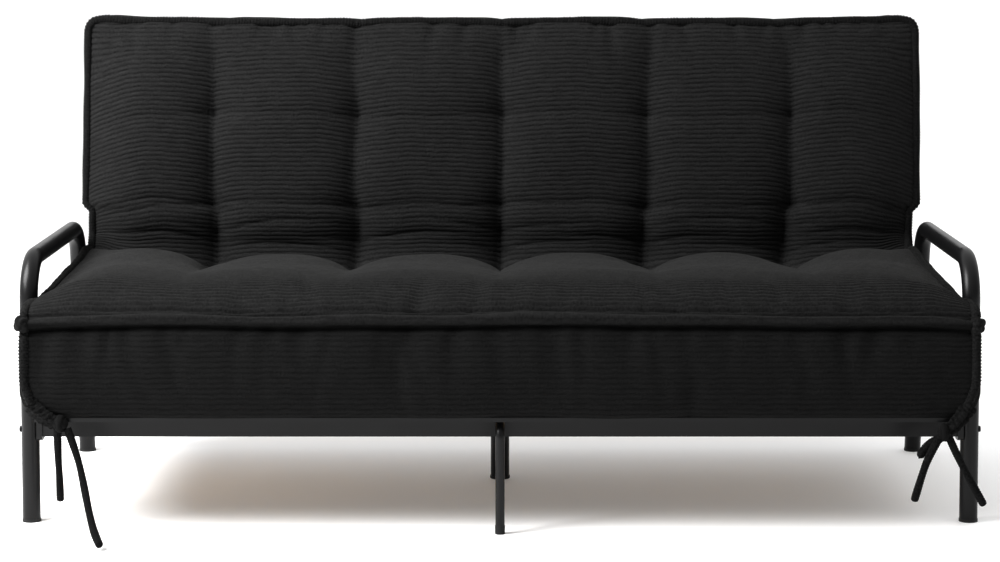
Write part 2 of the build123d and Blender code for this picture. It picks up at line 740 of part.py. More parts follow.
def mattress_half(profile, shrink, wide_box):
    """Closed solid of one half: `shrink` inside its skin, wider where `wide_box` allows."""
    with BuildPart() as half:
        with BuildSketch(side_plane(0)):
            with BuildLine():
                profile()
            make_face()
            if shrink:
                offset(amount=-shrink, kind=Kind.INTERSECTION)
        extrude(amount=waist - shrink, both=True)
        (low_y, low_z), (high_y, high_z) = wide_box
        with BuildSketch(side_plane(0)):
            with BuildLine():
                profile()
            make_face()
            if shrink:
                offset(amount=-shrink, kind=Kind.INTERSECTION)
            with Locations(((low_y + high_y) / 2, (low_z + high_z) / 2)):
                Rectangle(high_y - low_y - 2 * shrink, high_z - low_z - 2 * shrink, mode=Mode.INTERSECT)
        extrude(amount=mattress_half_width - shrink, both=True)
    return half.part


far_off = 2 * back_top           # past every side of the mattress
seat_wide = ((front_y - far_off, -far_off), (leg_y - hoop_tube / 2 - seat_wide_gap, far_off))
back_wide = ((leg_y, arm_height + hoop_tube / 2 + arm_clearance), (leg_y + far_off, far_off))

for half_name, profile, wide_box in (
    ("seat", seat_profile, seat_wide),
    ("back", back_profile, back_wide),
):
    outer = mattress_half(profile, 0.0, wide_box)
    filling = mattress_half(profile, cover_thickness, wide_box)
    save(outer - filling, f"mattress_cover_{half_name}")
    save(filling, f"mattress_filling_{half_name}")

# ----------------------------------------------------------------------------- ties

for side, side_name in ((-1, "left"), (1, "right")):
    knot_x, knot_z = knots[side_name]
    roll_inset, roll_rise = roll_starts[side_name]
    start = Vector(
        side * (mattress_half_width - roll_inset), front_y + roll_setback, seat_base - lip_droop + roll_rise
    )
    end = Vector(knot_x, front_y, knot_z)
    roll = end - start
    with BuildPart() as tie_knot:
        with BuildSketch(Plane(origin=start, z_dir=roll)):
            Circle(roll_d / 2)
        extrude(amount=roll.length)
        with Locations(start):
            Sphere(roll_d / 2)
        with Locations(end):
            Sphere(knot_d / 2)
    save(tie_knot.part, f"tie_knot_{side_name}")

# tail routes: X, distance in front of the mattress's front line, Z
routes = {
    "left_short": ((-898, 0, 224), (-898, -1, 170), (-895, -3, 120), (-894, 0, 74)),
    "left_long": (
        (-878, 0, 225), (-859, 4, 174), (-846, 17, 128), (-836, 36, 92),
        (-824, 62, 55), (-811, 88, 26), (-796, 118, 10),
    ),
    "right_inner": ((894, 1, 210), (870, 5, 170), (855, 4, 124), (842, -1, 74)),
    "right_outer": ((910, 1, 210), (930, 7, 164), (956, 12, 116), (983, 10, 68)),
}


def tail_radii(points):
    """Tangent arcs just short of the largest that the runs beside each corner allow."""
    radii = []
    for before, corner, after in zip(points, points[1:], points[2:]):
        first = corner - before
        second = after - corner
        half_turn = radians(first.get_angle(second)) / 2
        radii.append(arc_share * min(first.length, second.length) / tan(half_turn))
    return radii


for route_name, route in routes.items():
    points = [Vector(x, front_y - out, z) for x, out, z in route]
    radii = tail_radii(points)
    with BuildPart() as tail:
        with BuildLine() as tail_line:
            FilletPolyline(*points, radius=radii)
        with BuildSketch(Plane(origin=points[0], z_dir=points[1] - points[0])):
            Circle(tie_d / 2)
        sweep()
    length = tail_line.wires()[0].length
    expected = length * pi * (tie_d / 2) ** 2
    print(f"tie_tail_{route_name}: length {length:.1f}, volume {tail.part.volume:.0f} against {expected:.0f}")
    save(tail.part, f"tie_tail_{route_name}")
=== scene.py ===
"""Futon sofa bed: a tufted rib-cord mattress on a powder-coated click-clack hoop frame."""
import json
import logging
import math
import random
from dataclasses import dataclass, field
from enum import Enum
from typing import Callable, Iterable, Sequence

import bmesh
import bpy
import numpy as np
from mathutils import Matrix, Vector


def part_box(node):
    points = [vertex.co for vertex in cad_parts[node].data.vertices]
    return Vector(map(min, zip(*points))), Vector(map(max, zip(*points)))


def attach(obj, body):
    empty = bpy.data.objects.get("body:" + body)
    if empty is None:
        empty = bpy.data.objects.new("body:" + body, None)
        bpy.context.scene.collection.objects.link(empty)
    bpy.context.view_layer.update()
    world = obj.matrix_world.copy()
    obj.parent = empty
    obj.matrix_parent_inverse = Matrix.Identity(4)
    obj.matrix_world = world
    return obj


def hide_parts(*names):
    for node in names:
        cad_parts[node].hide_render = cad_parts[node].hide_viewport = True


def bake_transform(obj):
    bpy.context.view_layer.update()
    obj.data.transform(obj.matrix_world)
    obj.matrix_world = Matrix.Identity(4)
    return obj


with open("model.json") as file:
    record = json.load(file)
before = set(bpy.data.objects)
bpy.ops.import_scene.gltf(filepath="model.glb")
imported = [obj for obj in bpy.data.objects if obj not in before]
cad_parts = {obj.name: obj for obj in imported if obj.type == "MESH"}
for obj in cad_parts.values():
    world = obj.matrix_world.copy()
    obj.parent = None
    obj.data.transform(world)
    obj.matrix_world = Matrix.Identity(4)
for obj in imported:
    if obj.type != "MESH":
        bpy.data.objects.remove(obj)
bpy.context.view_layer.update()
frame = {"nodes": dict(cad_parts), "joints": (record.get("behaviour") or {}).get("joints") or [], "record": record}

logging.basicConfig(level=logging.INFO, format="%(message)s")
log = logging.getLogger("futon")

Place = Callable[[np.ndarray, np.ndarray], np.ndarray]
MM = 0.001
MERGE = 1e-6                                # points closer than this are one


# ------------------------------------------------------------------ places taken from the frame

HOOP_LOW, HOOP_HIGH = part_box("arm_hoop_right")
TUBE_RADIUS = (HOOP_HIGH.x - HOOP_LOW.x) / 2
LEG_Y = HOOP_LOW.y + TUBE_RADIUS            # line of the front legs
HOOP_INNER = HOOP_LOW.x
DECK_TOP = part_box("seat_front_tube")[1].z
BACK_FOLD = next(j for j in frame["joints"] if j["name"] == "back_fold")
HINGE = Vector(BACK_FOLD["pos_m"])
BACK_LEAN = math.radians(90.0 - BACK_FOLD["range_deg"][1])
DECK_HALF = DECK_TOP - HINGE.z              # half the deck tube


class Slot(str, Enum):
    """The record's material slots."""

    STEEL = "frame_steel"
    FASTENER = "fastener_steel"
    PLASTIC = "black_plastic"
    NYLON = "nylon"
    RUBBER = "rubber_tip"
    WOOD = "slat_wood"
    FABRIC = "cover_fabric"
    FILLING = "filling"


class Side(int, Enum):
    """Left or right of the sofa as seen from the front."""

    LEFT = -1
    RIGHT = 1

    @property
    def word(self) -> str:
        """The side's name in piece names."""
        return self.name.lower()


def on_back(along: float, out: float) -> tuple[float, float]:
    """Side-view point on the back, measured from the front leg line.

    Args:
        along: distance from the hinge along the back, in metres.
        out: distance in front of the back deck's middle plane.

    Returns:
        (y behind the front legs, z above the floor).
    """
    y = HINGE.y - LEG_Y + along * math.sin(BACK_LEAN) - out * math.cos(BACK_LEAN)
    z = HINGE.z + along * math.cos(BACK_LEAN) + out * math.sin(BACK_LEAN)
    return y, z


def smooth(low: float, high: float, value: np.ndarray) -> np.ndarray:
    """Smooth step.

    Args:
        low: where it is still 0.
        high: where it has reached 1.
        value: the values to step.

    Returns:
        A weight from 0 to 1 for each value.
    """
    t = np.clip((value - low) / (high - low), 0.0, 1.0)
    return t * t * (3.0 - 2.0 * t)


def bump(centre: float, width: float, value: np.ndarray) -> np.ndarray:
    """Bell curve of height 1 at `centre`, with `width` as its standard deviation."""
    return np.exp(-0.5 * ((value - centre) / width) ** 2)


# ------------------------------------------------------------------------------ mesh helpers

def run_along(path: np.ndarray) -> np.ndarray:
    """Distance along a path of points, from 0 at its first one."""
    return np.concatenate([[0.0], np.cumsum(np.linalg.norm(np.diff(path, axis=0), axis=1))])


def resampled(path: np.ndarray, at: np.ndarray) -> np.ndarray:
    """Points of a path at the given distances along it."""
    run = run_along(path)
    return np.stack([np.interp(at, run, path[:, k]) for k in range(3)], axis=1)


def linked(name: str, data: bpy.types.Mesh | bpy.types.Curve) -> bpy.types.Object:
    """Put a mesh or curve in the scene.

    Args:
        name: the object's name.
        data: what it shows.

    Returns:
        The object, at the origin.
    """
    piece = bpy.data.objects.new(name, data)
    bpy.context.scene.collection.objects.link(piece)
    return piece


def from_bmesh(name: str, bm: bmesh.types.BMesh, soft: bool = True) -> bpy.types.Object:
    """Finish a bmesh as an object.

    Args:
        name: the piece's name.
        bm: the bmesh, which is freed.
        soft: whether its faces are shaded smooth.

    Returns:
        The object, with doubles merged and normals outward.
    """
    bmesh.ops.remove_doubles(bm, verts=bm.verts[:], dist=MERGE)
    bmesh.ops.recalc_face_normals(bm, faces=bm.faces[:])
    for face in bm.faces:
        face.smooth = soft
    mesh = bpy.data.meshes.new(name)
    bm.to_mesh(mesh)
    bm.free()
    return linked(name, mesh)


def add_patch(bm: bmesh.types.BMesh, rows: int, columns: int, place: Place,
              cloth: Place | None = None) -> None:
    """Add a grid patch whose vertices are carried onto a surface.

    Args:
        bm: the bmesh that takes the patch.
        rows: spaces along the second parameter.
        columns: spaces along the first parameter.
        place: gives (n, 3) positions for the two parameters, each from 0 to 1.
        cloth: gives (n, 2) cloth coordinates in metres for the UV map.
    """
    made = bmesh.ops.create_grid(bm, x_segments=columns, y_segments=rows, size=1.0)["verts"]
    flat = np.array([v.co[:2] for v in made])
    a, b = (flat[:, 0] + 1.0) / 2.0, (flat[:, 1] + 1.0) / 2.0
    for vert, co in zip(made, place(a, b)):
        vert.co = co
    if cloth is not None:
        layer = bm.loops.layers.uv.get("cloth") or bm.loops.layers.uv.new("cloth")
        bm.verts.index_update()
        uv = dict(zip((v.index for v in made), cloth(a, b)))
        for face in {f for v in made for f in v.link_faces}:
            for loop in face.loops:
                loop[layer].uv = uv[loop.vert.index]


def tube_along(name: str, path: np.ndarray, radius: Callable[[np.ndarray, np.ndarray], np.ndarray],
               sides: int = 12) -> bpy.types.Object:
    """Closed tube along a path, with a radius that may change round and along it.

    Args:
        name: the piece's name.
        path: (n, 3) points of the centreline.
        radius: gives the radius in metres from the angle and the distance along the path.
        sides: spaces round the tube.

    Returns:
        The tube as an object, with closed ends.
    """
    run = run_along(path)
    tangent = np.gradient(path, axis=0)
    tangent /= np.linalg.norm(tangent, axis=1)[:, None]
    across = np.zeros_like(tangent)
    guide = np.array([0.0, 0.0, 1.0]) if abs(tangent[0][2]) < 0.9 else np.array([0.0, 1.0, 0.0])
    for i, t in enumerate(tangent):
        guide = guide - t * guide.dot(t)
        guide /= np.linalg.norm(guide)
        across[i] = guide
    other = np.cross(tangent, across)

    def place(a: np.ndarray, b: np.ndarray) -> np.ndarray:
        """Place on the tube.

        Args:
            a: share of the turn round the path.
            b: share of the length along it.

        Returns:
            (n, 3) positions.
        """
        i = np.rint(b * (len(path) - 1)).astype(int)
        turn = 2.0 * math.pi * a
        r = radius(turn, run[i])[:, None]
        return path[i] + r * (np.cos(turn)[:, None] * across[i] + np.sin(turn)[:, None] * other[i])

    bm = bmesh.new()
    add_patch(bm, len(path) - 1, sides, place,
              lambda a, b: np.stack([a * 0.04, b * run[-1]], axis=1))
    bmesh.ops.remove_doubles(bm, verts=bm.verts[:], dist=MERGE)
    bmesh.ops.holes_fill(bm, edges=[e for e in bm.edges if e.is_boundary], sides=0)
    return from_bmesh(name, bm)


# ----------------------------------------------------------------------------------- finishes

def srgb(code: str) -> tuple[float, float, float, float]:
    """Turn an sRGB colour into a linear one.

    Args:
        code: a hash and six hex digits.

    Returns:
        Linear red, green and blue, with full alpha.
    """
    parts = [int(code[i:i + 2], 16) / 255.0 for i in (1, 3, 5)]
    line = [c / 12.92 if c <= 0.04045 else ((c + 0.055) / 1.055) ** 2.4 for c in parts]
    return (line[0], line[1], line[2], 1.0)


def node(tree: bpy.types.NodeTree, kind: str, settings: dict | None = None,
         links: dict | None = None) -> bpy.types.Node:
    """Add one node with its settings and links.

    Args:
        tree: the node tree.
        kind: the node's type name.
        settings: property values by name, or socket values by name or number.
        links: output sockets to join, by input name or number.

    Returns:
        The new node.
    """
    made = tree.nodes.new(kind)
    for key, value in (settings or {}).items():
        if isinstance(key, int) or key in made.inputs:
            made.inputs[key].default_value = value
        else:
            setattr(made, key, value)
    for key, value in (links or {}).items():
        tree.links.new(value, made.inputs[key])
    return made


MIX_A, MIX_B, MIX_OUT = 6, 7, 2             # a colour Mix node's sockets, whose names repeat


@dataclass(frozen=True)
class Finish:
    """A surface finish, whose build method makes its Blender material."""

    name: str
    colour: str
    roughness: float

    def start(self) -> tuple[bpy.types.Material, bpy.types.NodeTree, bpy.types.Node]:
        """Begin the material.

        Returns:
            The material, its node tree and its shader, set to this finish's constants.
        """
        material = bpy.data.materials.new(self.name)
        material.use_nodes = True
        tree = material.node_tree
        shader = tree.nodes["Principled BSDF"]
        shader.inputs["Base Color"].default_value = srgb(self.colour)
        shader.inputs["Roughness"].default_value = self.roughness
        material.diffuse_color = srgb(self.colour)
        return material, tree, shader

    def build(self) -> bpy.types.Material:
        """The finished material."""
        return self.start()[0]


@dataclass(frozen=True)
class GrainedFinish(Finish):
    """A sprayed, moulded or plated surface: one colour with a fine grain in height and gloss."""

    grain_mm: float = 1.5
    grain_depth_mm: float = 0.03
    gloss_spread: float = 0.08
    metallic: float = 0.0
    patch: str = "#000000"
    patch_mm: float = 60.0
    specular: float = 0.5

    def build(self) -> bpy.types.Material:
        """Noise bends the surface, and a slow noise shifts its gloss and colour a little.

        Returns:
            The finished material.
        """
        material, tree, shader = self.start()
        shader.inputs["Metallic"].default_value = self.metallic
        shader.inputs["Specular IOR Level"].default_value = self.specular
        where = node(tree, "ShaderNodeTexCoord").outputs["Object"]
        fine = node(tree, "ShaderNodeTexNoise", {"Scale": 1.0 / (self.grain_mm * MM), "Detail": 3.0},
                    {"Vector": where})
        slow = node(tree, "ShaderNodeTexNoise", {"Scale": 1.0 / (self.patch_mm * MM), "Detail": 4.0},
                    {"Vector": where})
        tint = node(tree, "ShaderNodeMix",
                    {"data_type": "RGBA", MIX_A: srgb(self.colour), MIX_B: srgb(self.patch)},
                    {0: slow.outputs["Fac"]})
        tree.links.new(tint.outputs[MIX_OUT], shader.inputs["Base Color"])
        low, high = self.roughness - self.gloss_spread, self.roughness + self.gloss_spread
        gloss = node(tree, "ShaderNodeMapRange", {"To Min": low, "To Max": high},
                     {"Value": slow.outputs["Fac"]})
        tree.links.new(gloss.outputs["Result"], shader.inputs["Roughness"])
        raised = node(tree, "ShaderNodeBump", {"Strength": 0.6, "Distance": self.grain_depth_mm * MM},
                      {"Height": fine.outputs["Fac"]})
        tree.links.new(raised.outputs["Normal"], shader.inputs["Normal"])
        return material


@dataclass(frozen=True)
class RibCord(Finish):
    """Black chenille rib cord: a napped polyester pile whose wales catch a soft sheen."""

    # painted shade: on the ribbed cover the grooves between the wales are drawn this dark; on plain pile it is the
    # colour at the fibre noise's low points
    groove: str = "#020202"
    crest: str = "#1e1e1e"
    fibre_mm: float = 4.2          # real tufts are about 2 mm, drawn coarser so that they show
    fibre_depth_mm: float = 1.6
    sheen: float = 0.025
    sheen_roughness: float = 0.45
    sheen_tint: str = "#b0b0ac"
    specular: float = 0.06
    nap_mm: float = 30.0           # size of a brushed patch
    wale_share: float = 0.55       # of the shading that follows the ribs
    fibre_share: float = 0.60
    weave_only: bool = False       # plain pile without ribs

    def build(self) -> bpy.types.Material:
        """Wale height paints shade into the grooves, fibre noise breaks up the crest's colour and height, and on
        the ribbed cover a painted-shade attribute darkens whole regions.

        Returns:
            The finished material.
        """
        material, tree, shader = self.start()
        shader.inputs["Sheen Weight"].default_value = self.sheen
        shader.inputs["Sheen Roughness"].default_value = self.sheen_roughness
        shader.inputs["Sheen Tint"].default_value = srgb(self.sheen_tint)
        shader.inputs["Specular IOR Level"].default_value = self.specular
        cloth = node(tree, "ShaderNodeUVMap", {"uv_map": "cloth"}).outputs["UV"]
        fibre = node(tree, "ShaderNodeTexNoise",
                     {"Scale": 1.0 / (self.fibre_mm * MM), "Detail": 2.0, "Roughness": 0.7},
                     {"Vector": cloth})
        stretch = node(tree, "ShaderNodeMapping", {"Scale": (1.0, 3.0, 1.0)}, {"Vector": cloth})
        nap_and_painted_shade = node(tree, "ShaderNodeTexNoise", {"Scale": 1.0 / (self.nap_mm * MM), "Detail": 5.0},
                   {"Vector": stretch.outputs["Vector"]})
        tufts = node(tree, "ShaderNodeMapRange", {"From Min": 0.36, "From Max": 0.64},
                     {"Value": fibre.outputs["Fac"]}).outputs["Result"]
        if self.weave_only:
            height = tufts
        else:
            wale = node(tree, "ShaderNodeAttribute", {"attribute_name": "wale"}).outputs["Fac"]
            part = node(tree, "ShaderNodeMath", {"operation": "MULTIPLY", 1: self.fibre_share},
                        {0: tufts}).outputs[0]
            height = node(tree, "ShaderNodeMath", {"operation": "MULTIPLY_ADD", 1: self.wale_share},
                          {0: wale, 2: part}).outputs[0]
        shade = node(tree, "ShaderNodeMix",
                     {"data_type": "RGBA", MIX_A: srgb(self.groove), MIX_B: srgb(self.crest)}, {0: height})
        pile_lie_and_painted_shade = node(tree, "ShaderNodeMapRange",
                   {"From Min": 0.3, "From Max": 0.7, "To Min": 0.78, "To Max": 1.22},
                   {"Value": nap_and_painted_shade.outputs["Fac"]}).outputs["Result"]
        if not self.weave_only:
            # painted shade: the mesh's shade attribute darkens the boxing, a line under the welt and the back
            painted_shade = node(tree, "ShaderNodeAttribute", {"attribute_name": "nap_and_painted_shade"}).outputs["Fac"]
            pile_lie_and_painted_shade = node(tree, "ShaderNodeMath", {"operation": "MULTIPLY"}, {0: pile_lie_and_painted_shade, 1: painted_shade}).outputs[0]
        worn_and_shaded_colour = node(tree, "ShaderNodeVectorMath", {"operation": "SCALE"},
                    {0: shade.outputs[MIX_OUT], "Scale": pile_lie_and_painted_shade})
        tree.links.new(worn_and_shaded_colour.outputs[0], shader.inputs["Base Color"])
        raised = node(tree, "ShaderNodeBump", {"Strength": 1.0, "Distance": self.fibre_depth_mm * MM},
                      {"Height": fibre.outputs["Fac"]})
        tree.links.new(raised.outputs["Normal"], shader.inputs["Normal"])
        return material


@dataclass(frozen=True)
class SlatWood(Finish):
    """Birch plywood slat, sanded and clear-lacquered: pale, with a fine straight grain."""

    late: str = "#a97f4e"
    grain_mm: float = 2.5
    tilt: float = 0.0              # turn about X that brings the slat's length onto Y

    def build(self) -> bpy.types.Material:
        """Noise stretched along the slat draws the grain in colour and height.

        Returns:
            The finished material.
        """
        material, tree, shader = self.start()
        where = node(tree, "ShaderNodeTexCoord").outputs["Object"]
        turned = node(tree, "ShaderNodeMapping",
                      {"Rotation": (self.tilt, 0.0, 0.0)}, {"Vector": where})
        along = node(tree, "ShaderNodeMapping", {"Scale": (1.0, 0.04, 1.0)},
                     {"Vector": turned.outputs["Vector"]})
        grain = node(tree, "ShaderNodeTexNoise",
                     {"Scale": 1.0 / (self.grain_mm * MM), "Detail": 6.0, "Distortion": 0.6},
                     {"Vector": along.outputs["Vector"]})
        ramp = node(tree, "ShaderNodeMapRange", {"From Min": 0.35, "From Max": 0.6},
                    {"Value": grain.outputs["Fac"]})
        tint = node(tree, "ShaderNodeMix",
                    {"data_type": "RGBA", MIX_A: srgb(self.late), MIX_B: srgb(self.colour)},
                    {0: ramp.outputs["Result"]})
        tree.links.new(tint.outputs[MIX_OUT], shader.inputs["Base Color"])
        raised = node(tree, "ShaderNodeBump", {"Strength": 0.3, "Distance": 0.05 * MM},
                      {"Height": grain.outputs["Fac"]})
        tree.links.new(raised.outputs["Normal"], shader.inputs["Normal"])
        return material


# satin black epoxy powder coat: slight orange peel, so its highlights are soft-edged
POWDER_COAT = GrainedFinish("powder_coated_steel", "#0a0a0b", 0.33, grain_mm=2.2, grain_depth_mm=0.05,
                            gloss_spread=0.05, patch="#080808", patch_mm=90.0, specular=0.14)
# black oxide on steel fasteners: a dull metal
BLACK_OXIDE = GrainedFinish("black_oxide_steel", "#1c1c1d", 0.42, grain_mm=0.8, metallic=0.85,
                            patch="#121213")
# injection-moulded polypropylene, spark-eroded texture
MOULDED = GrainedFinish("moulded_polypropylene", "#101010", 0.52, grain_mm=1.2, grain_depth_mm=0.06,
                        patch="#0d0d0d", specular=0.2)
# natural cast nylon: off-white and faintly waxy
NYLON = GrainedFinish("cast_nylon", "#d8d3c4", 0.45, grain_mm=3.0, patch="#c9c3b2")
# moulded rubber: nearly matt
RUBBER = GrainedFinish("moulded_rubber", "#0e0e0e", 0.8, grain_mm=1.0, grain_depth_mm=0.05, patch="#131313",
                       specular=0.2)
# birch plywood, clear-lacquered: the back's slats lean, so their grain is turned
SEAT_WOOD = SlatWood("birch_ply_seat", "#d2ac78", 0.45)
BACK_WOOD = SlatWood("birch_ply_back", "#d2ac78", 0.45, tilt=-(math.pi / 2 - BACK_LEAN))
# the cover, and the same pile on its plain binding
RIB_CORD = RibCord("black_rib_cord", "#1c1c1e", 0.9)
PLAIN_PILE = RibCord("black_rib_cord_binding", "#101010", 0.9, groove="#020202", crest="#131313",
                     fibre_mm=2.6, weave_only=True)
# the ties: the same pile drawn tight, its colour darkened as painted shade for the shadow in its deep folds
SHADED_TIE_PILE = RibCord("black_rib_cord_tie_shaded", "#0a0a0a", 0.95, groove="#010101", crest="#0f0f0f",
                   fibre_mm=3.4, fibre_depth_mm=2.4, sheen=0.0, weave_only=True)
# non-slip twill lining under the mattress
LINING = RibCord("black_twill_lining", "#161617", 0.85, groove="#0c0c0d", crest="#1f1f21", fibre_mm=1.8,
                 sheen=0.1, weave_only=True)


@dataclass
class Finishes:
    """Builds each finish once and dresses pieces and frame nodes with it."""

    made: dict[str, bpy.types.Material] = field(default_factory=dict)

    def of(self, finish: Finish) -> bpy.types.Material:
        """The material of one finish, built the first time it is asked for."""
        if finish.name not in self.made:
            self.made[finish.name] = finish.build()
        return self.made[finish.name]

    def dress(self, piece: bpy.types.Object, finish: Finish) -> None:
        """Give a piece one finish all over."""
        piece.data.materials.clear()
        piece.data.materials.append(self.of(finish))

    def cloth_on_seat(self, piece: bpy.types.Object, finish: Finish) -> None:
        """Dress a cloth piece, hang it on the seat deck and report it.

        Args:
            piece: the piece, in place.
            finish: its finish.
        """
        self.dress(piece, finish)
        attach(piece, "seat_deck")
        log.info("%s: %d faces", piece.name, len(piece.data.polygons))


# ----------------------------------------------------------------------------------- mattress

@dataclass(frozen=True)
class Station:
    """One point of the mattress's side view.

    y and z give the outer seam line, under_y and under_z its partner on the deck side.
    crown is how far the middle stands out, and lobe is the extra height between tufts.
    """

    y: float
    z: float
    crown: float
    lobe: float
    under_y: float
    under_z: float


@dataclass
class Mattress:
    """One tufted mattress over both decks, folded where the decks meet."""

    finishes: Finishes
    half_width: float = 0.966
    waist_half: float = HOOP_INNER - 0.0118
    top_z: float = 0.577                  # above this the back is wider than the hoops allow
    rib_pitch: float = 0.0108
    rib_height: float = 0.0024
    # painted shade: the front boxing's pile is drawn at this share of the seat's brightness
    boxing_painted_shade: float = 0.27            # brightness of the front boxing's pile
    row_step: float = 0.00185
    column_step: float = 0.0105
    side_columns: int = 40
    tuft_xs: tuple[float, ...] = (-0.671, -0.340, 0.0, 0.340, 0.671)
    back_thickness: float = 0.175
    back_top: float = 0.776
    corner: float = 0.030
    piping_radius: float = 0.0098
    fold_half: float = 0.09               # half the depth over which the fold bends
    seed: int = 11
    # folds where the back is pressed on the seat: place past the crease, depth, width, phase
    pressed_folds: tuple[tuple[float, ...], ...] = (
        (0.050, 0.0070, 0.010, 0.4), (0.078, 0.0085, 0.009, 2.1),
        (0.108, 0.0070, 0.008, 3.9), (0.150, 0.0045, 0.009, 5.2))
    # soft dents in the front boxing: x, place, length, depth
    dents: tuple[tuple[float, ...], ...] = (
        (-0.205, 0.09, 0.06, 0.006), (0.395, 0.045, 0.03, 0.006),
        (0.12, 0.12, 0.05, 0.004), (0.62, 0.10, 0.05, 0.004))
    # short creases that run back over the seat: x, place behind the welt, length, depth
    seat_creases: tuple[tuple[float, ...], ...] = (
        (-0.405, 0.10, 0.055, 0.005), (-0.385, 0.07, 0.03, 0.004), (-0.045, 0.10, 0.045, 0.005),
        (0.29, 0.07, 0.04, 0.005), (0.315, 0.10, 0.05, 0.004), (0.56, 0.12, 0.05, 0.003))

    def stations(self) -> list[Station]:
        """The mattress's side view.

        Returns:
            Its stations, from the front bottom seam over the seat and back to the rear top seam.
        """
        rest = DECK_HALF + 0.001
        face = DECK_HALF + self.back_thickness
        under = DECK_TOP + 0.001
        hinge_y = HINGE.y - LEG_Y

        def back(along: float, crown: float, lobe: float, out: float = face,
                 under_along: float | None = None) -> Station:
            """Station on the back, by its distance from the hinge and from the deck."""
            y, z = on_back(along, out)
            uy, uz = on_back(along if under_along is None else under_along, rest)
            return Station(y, z, crown, lobe, uy, uz)

        return [
            Station(-0.1375, 0.2440, 0.000, 0.000, -0.1370, 0.2440),
            Station(-0.1420, 0.2620, 0.004, 0.000, -0.1300, under),
            Station(-0.1445, 0.3000, 0.007, 0.000, -0.1250, under),
            Station(-0.1450, 0.3500, 0.008, 0.001, -0.1200, under),
            Station(-0.1430, 0.4000, 0.006, 0.001, -0.1150, under),
            Station(-0.1400, 0.4330, 0.003, 0.000, -0.1100, under),
            Station(-0.1330, 0.4520, 0.005, 0.000, -0.1000, under),
            Station(-0.1050, 0.4630, 0.022, 0.001, -0.0850, under),
            Station(-0.0500, 0.4660, 0.041, 0.004, -0.0400, under),
            Station(0.0400, 0.4690, 0.040, 0.008, 0.0400, under),
            Station(0.1800, 0.4760, 0.021, 0.014, 0.2000, under),
            Station(0.3200, 0.4820, -0.003, 0.027, 0.3600, under),
            Station(0.4400, 0.4850, -0.023, 0.040, 0.5200, under),
            Station(0.5200, 0.4820, -0.032, 0.046, 0.6400, under),
            Station(0.5850, 0.4680, -0.030, 0.044, 0.7400, under),
            Station(0.6300, 0.4500, -0.020, 0.036, hinge_y - 0.012, under),
            back(0.235, -0.004, 0.032, face - 0.010, 0.060),
            back(0.300, 0.010, 0.029, face, 0.180),
            back(0.380, 0.020, 0.025),
            back(0.480, 0.026, 0.020),
            back(0.560, 0.027, 0.018),
            back(0.640, 0.024, 0.014),
            back(0.700, 0.016, 0.009),
            back(0.733, 0.008, 0.005, face, 0.740),
            back(0.748, 0.002, 0.001, face - 0.004, 0.762),
            back(0.755, 0.002, 0.000, face - 0.022, 0.770),
            back(0.764, 0.003, 0.000, face - 0.090, 0.773),
            back(self.back_top, 0.000, 0.000, rest + 0.002),
        ]

    def __post_init__(self) -> None:
        """Sample the side view finely and note where its named lines fall."""
        points = np.array([[s.y, s.z, s.crown, s.lobe, s.under_y, s.under_z] for s in self.stations()])
        self.curve = self._spline(points)
        self.run = run_along(self.curve[:, :2])
        self.length = float(self.run[-1])
        # the cloth is longer than the seam line where the filling pushes it out
        proud = self.curve[:, :2] + self._out(self.run) * (self.curve[:, 2:3] + 0.7 * self.curve[:, 3:4])
        self.cloth_run = run_along(proud)
        self.welt_s = self._where_z(0.444, 0, 0.3)
        self.crease_s = self._nearest(0.6300, 0.4500)
        self.top_s = self._nearest(*on_back(0.750, DECK_HALF + self.back_thickness - 0.006))
        self.tuft_s = self._nearest(*on_back(0.545, DECK_HALF + self.back_thickness))
        self.low_tuft_s = self._nearest(*on_back(0.335, DECK_HALF + self.back_thickness))
        draw = random.Random(self.seed)

        def drawn(count: int, *spans: tuple[float, float]) -> list[tuple[float, ...]]:
            """Rows of random values, one for each span."""
            return [tuple(draw.uniform(*span) for span in spans) for _ in range(count)]

        # gathers: x, width, depth, slant, reach
        self.ripples = drawn(46, (-0.93, 0.93), (0.007, 0.018), (0.4, 1.0), (-0.25, 0.25), (0.05, 0.16))
        self.puckers = drawn(40, (-0.93, 0.93), (0.005, 0.011), (0.3, 1.0), (-0.25, 0.25), (0.025, 0.08))
        self.shoulder_folds = drawn(22, (-0.9, 0.9), (0.008, 0.016), (0.3, 1.0), (-0.3, 0.3), (0.05, 0.12))
        self.waves = drawn(9, (2.0, 14.0), (2.0, 12.0), (0.0, 6.28))

    @staticmethod
    def _spline(points: np.ndarray, fine: int = 60) -> np.ndarray:
        """Cardinal spline through the stations, in all their values at once.

        Args:
            points: (n, k) stations, whose first two values are their place.
            fine: points drawn between two stations.

        Returns:
            The drawn points.
        """
        padded = np.vstack([2 * points[0] - points[1], points, 2 * points[-1] - points[-2]])
        out = []
        for i in range(1, len(padded) - 2):
            p0, p1, p2, p3 = padded[i - 1:i + 3]
            t = np.linspace(0, 1, fine, endpoint=False)[:, None]
            span = np.linalg.norm((p2 - p1)[:2])
            before = max(np.linalg.norm((p1 - p0)[:2]), 1e-6)
            after = max(np.linalg.norm((p3 - p2)[:2]), 1e-6)
            m1 = span * (p2 - p0) / (before + span)
            m2 = span * (p3 - p1) / (span + after)
            out.append((2 * t**3 - 3 * t**2 + 1) * p1 + (t**3 - 2 * t**2 + t) * m1
                       + (-2 * t**3 + 3 * t**2) * p2 + (t**3 - t**2) * m2)
        return np.vstack(out + [points[-1:]])

    def _nearest(self, y: float, z: float) -> float:
        """Distance along the side view of the point nearest to (y, z)."""
        return float(self.run[np.argmin(np.hypot(self.curve[:, 0] - y, self.curve[:, 1] - z))])

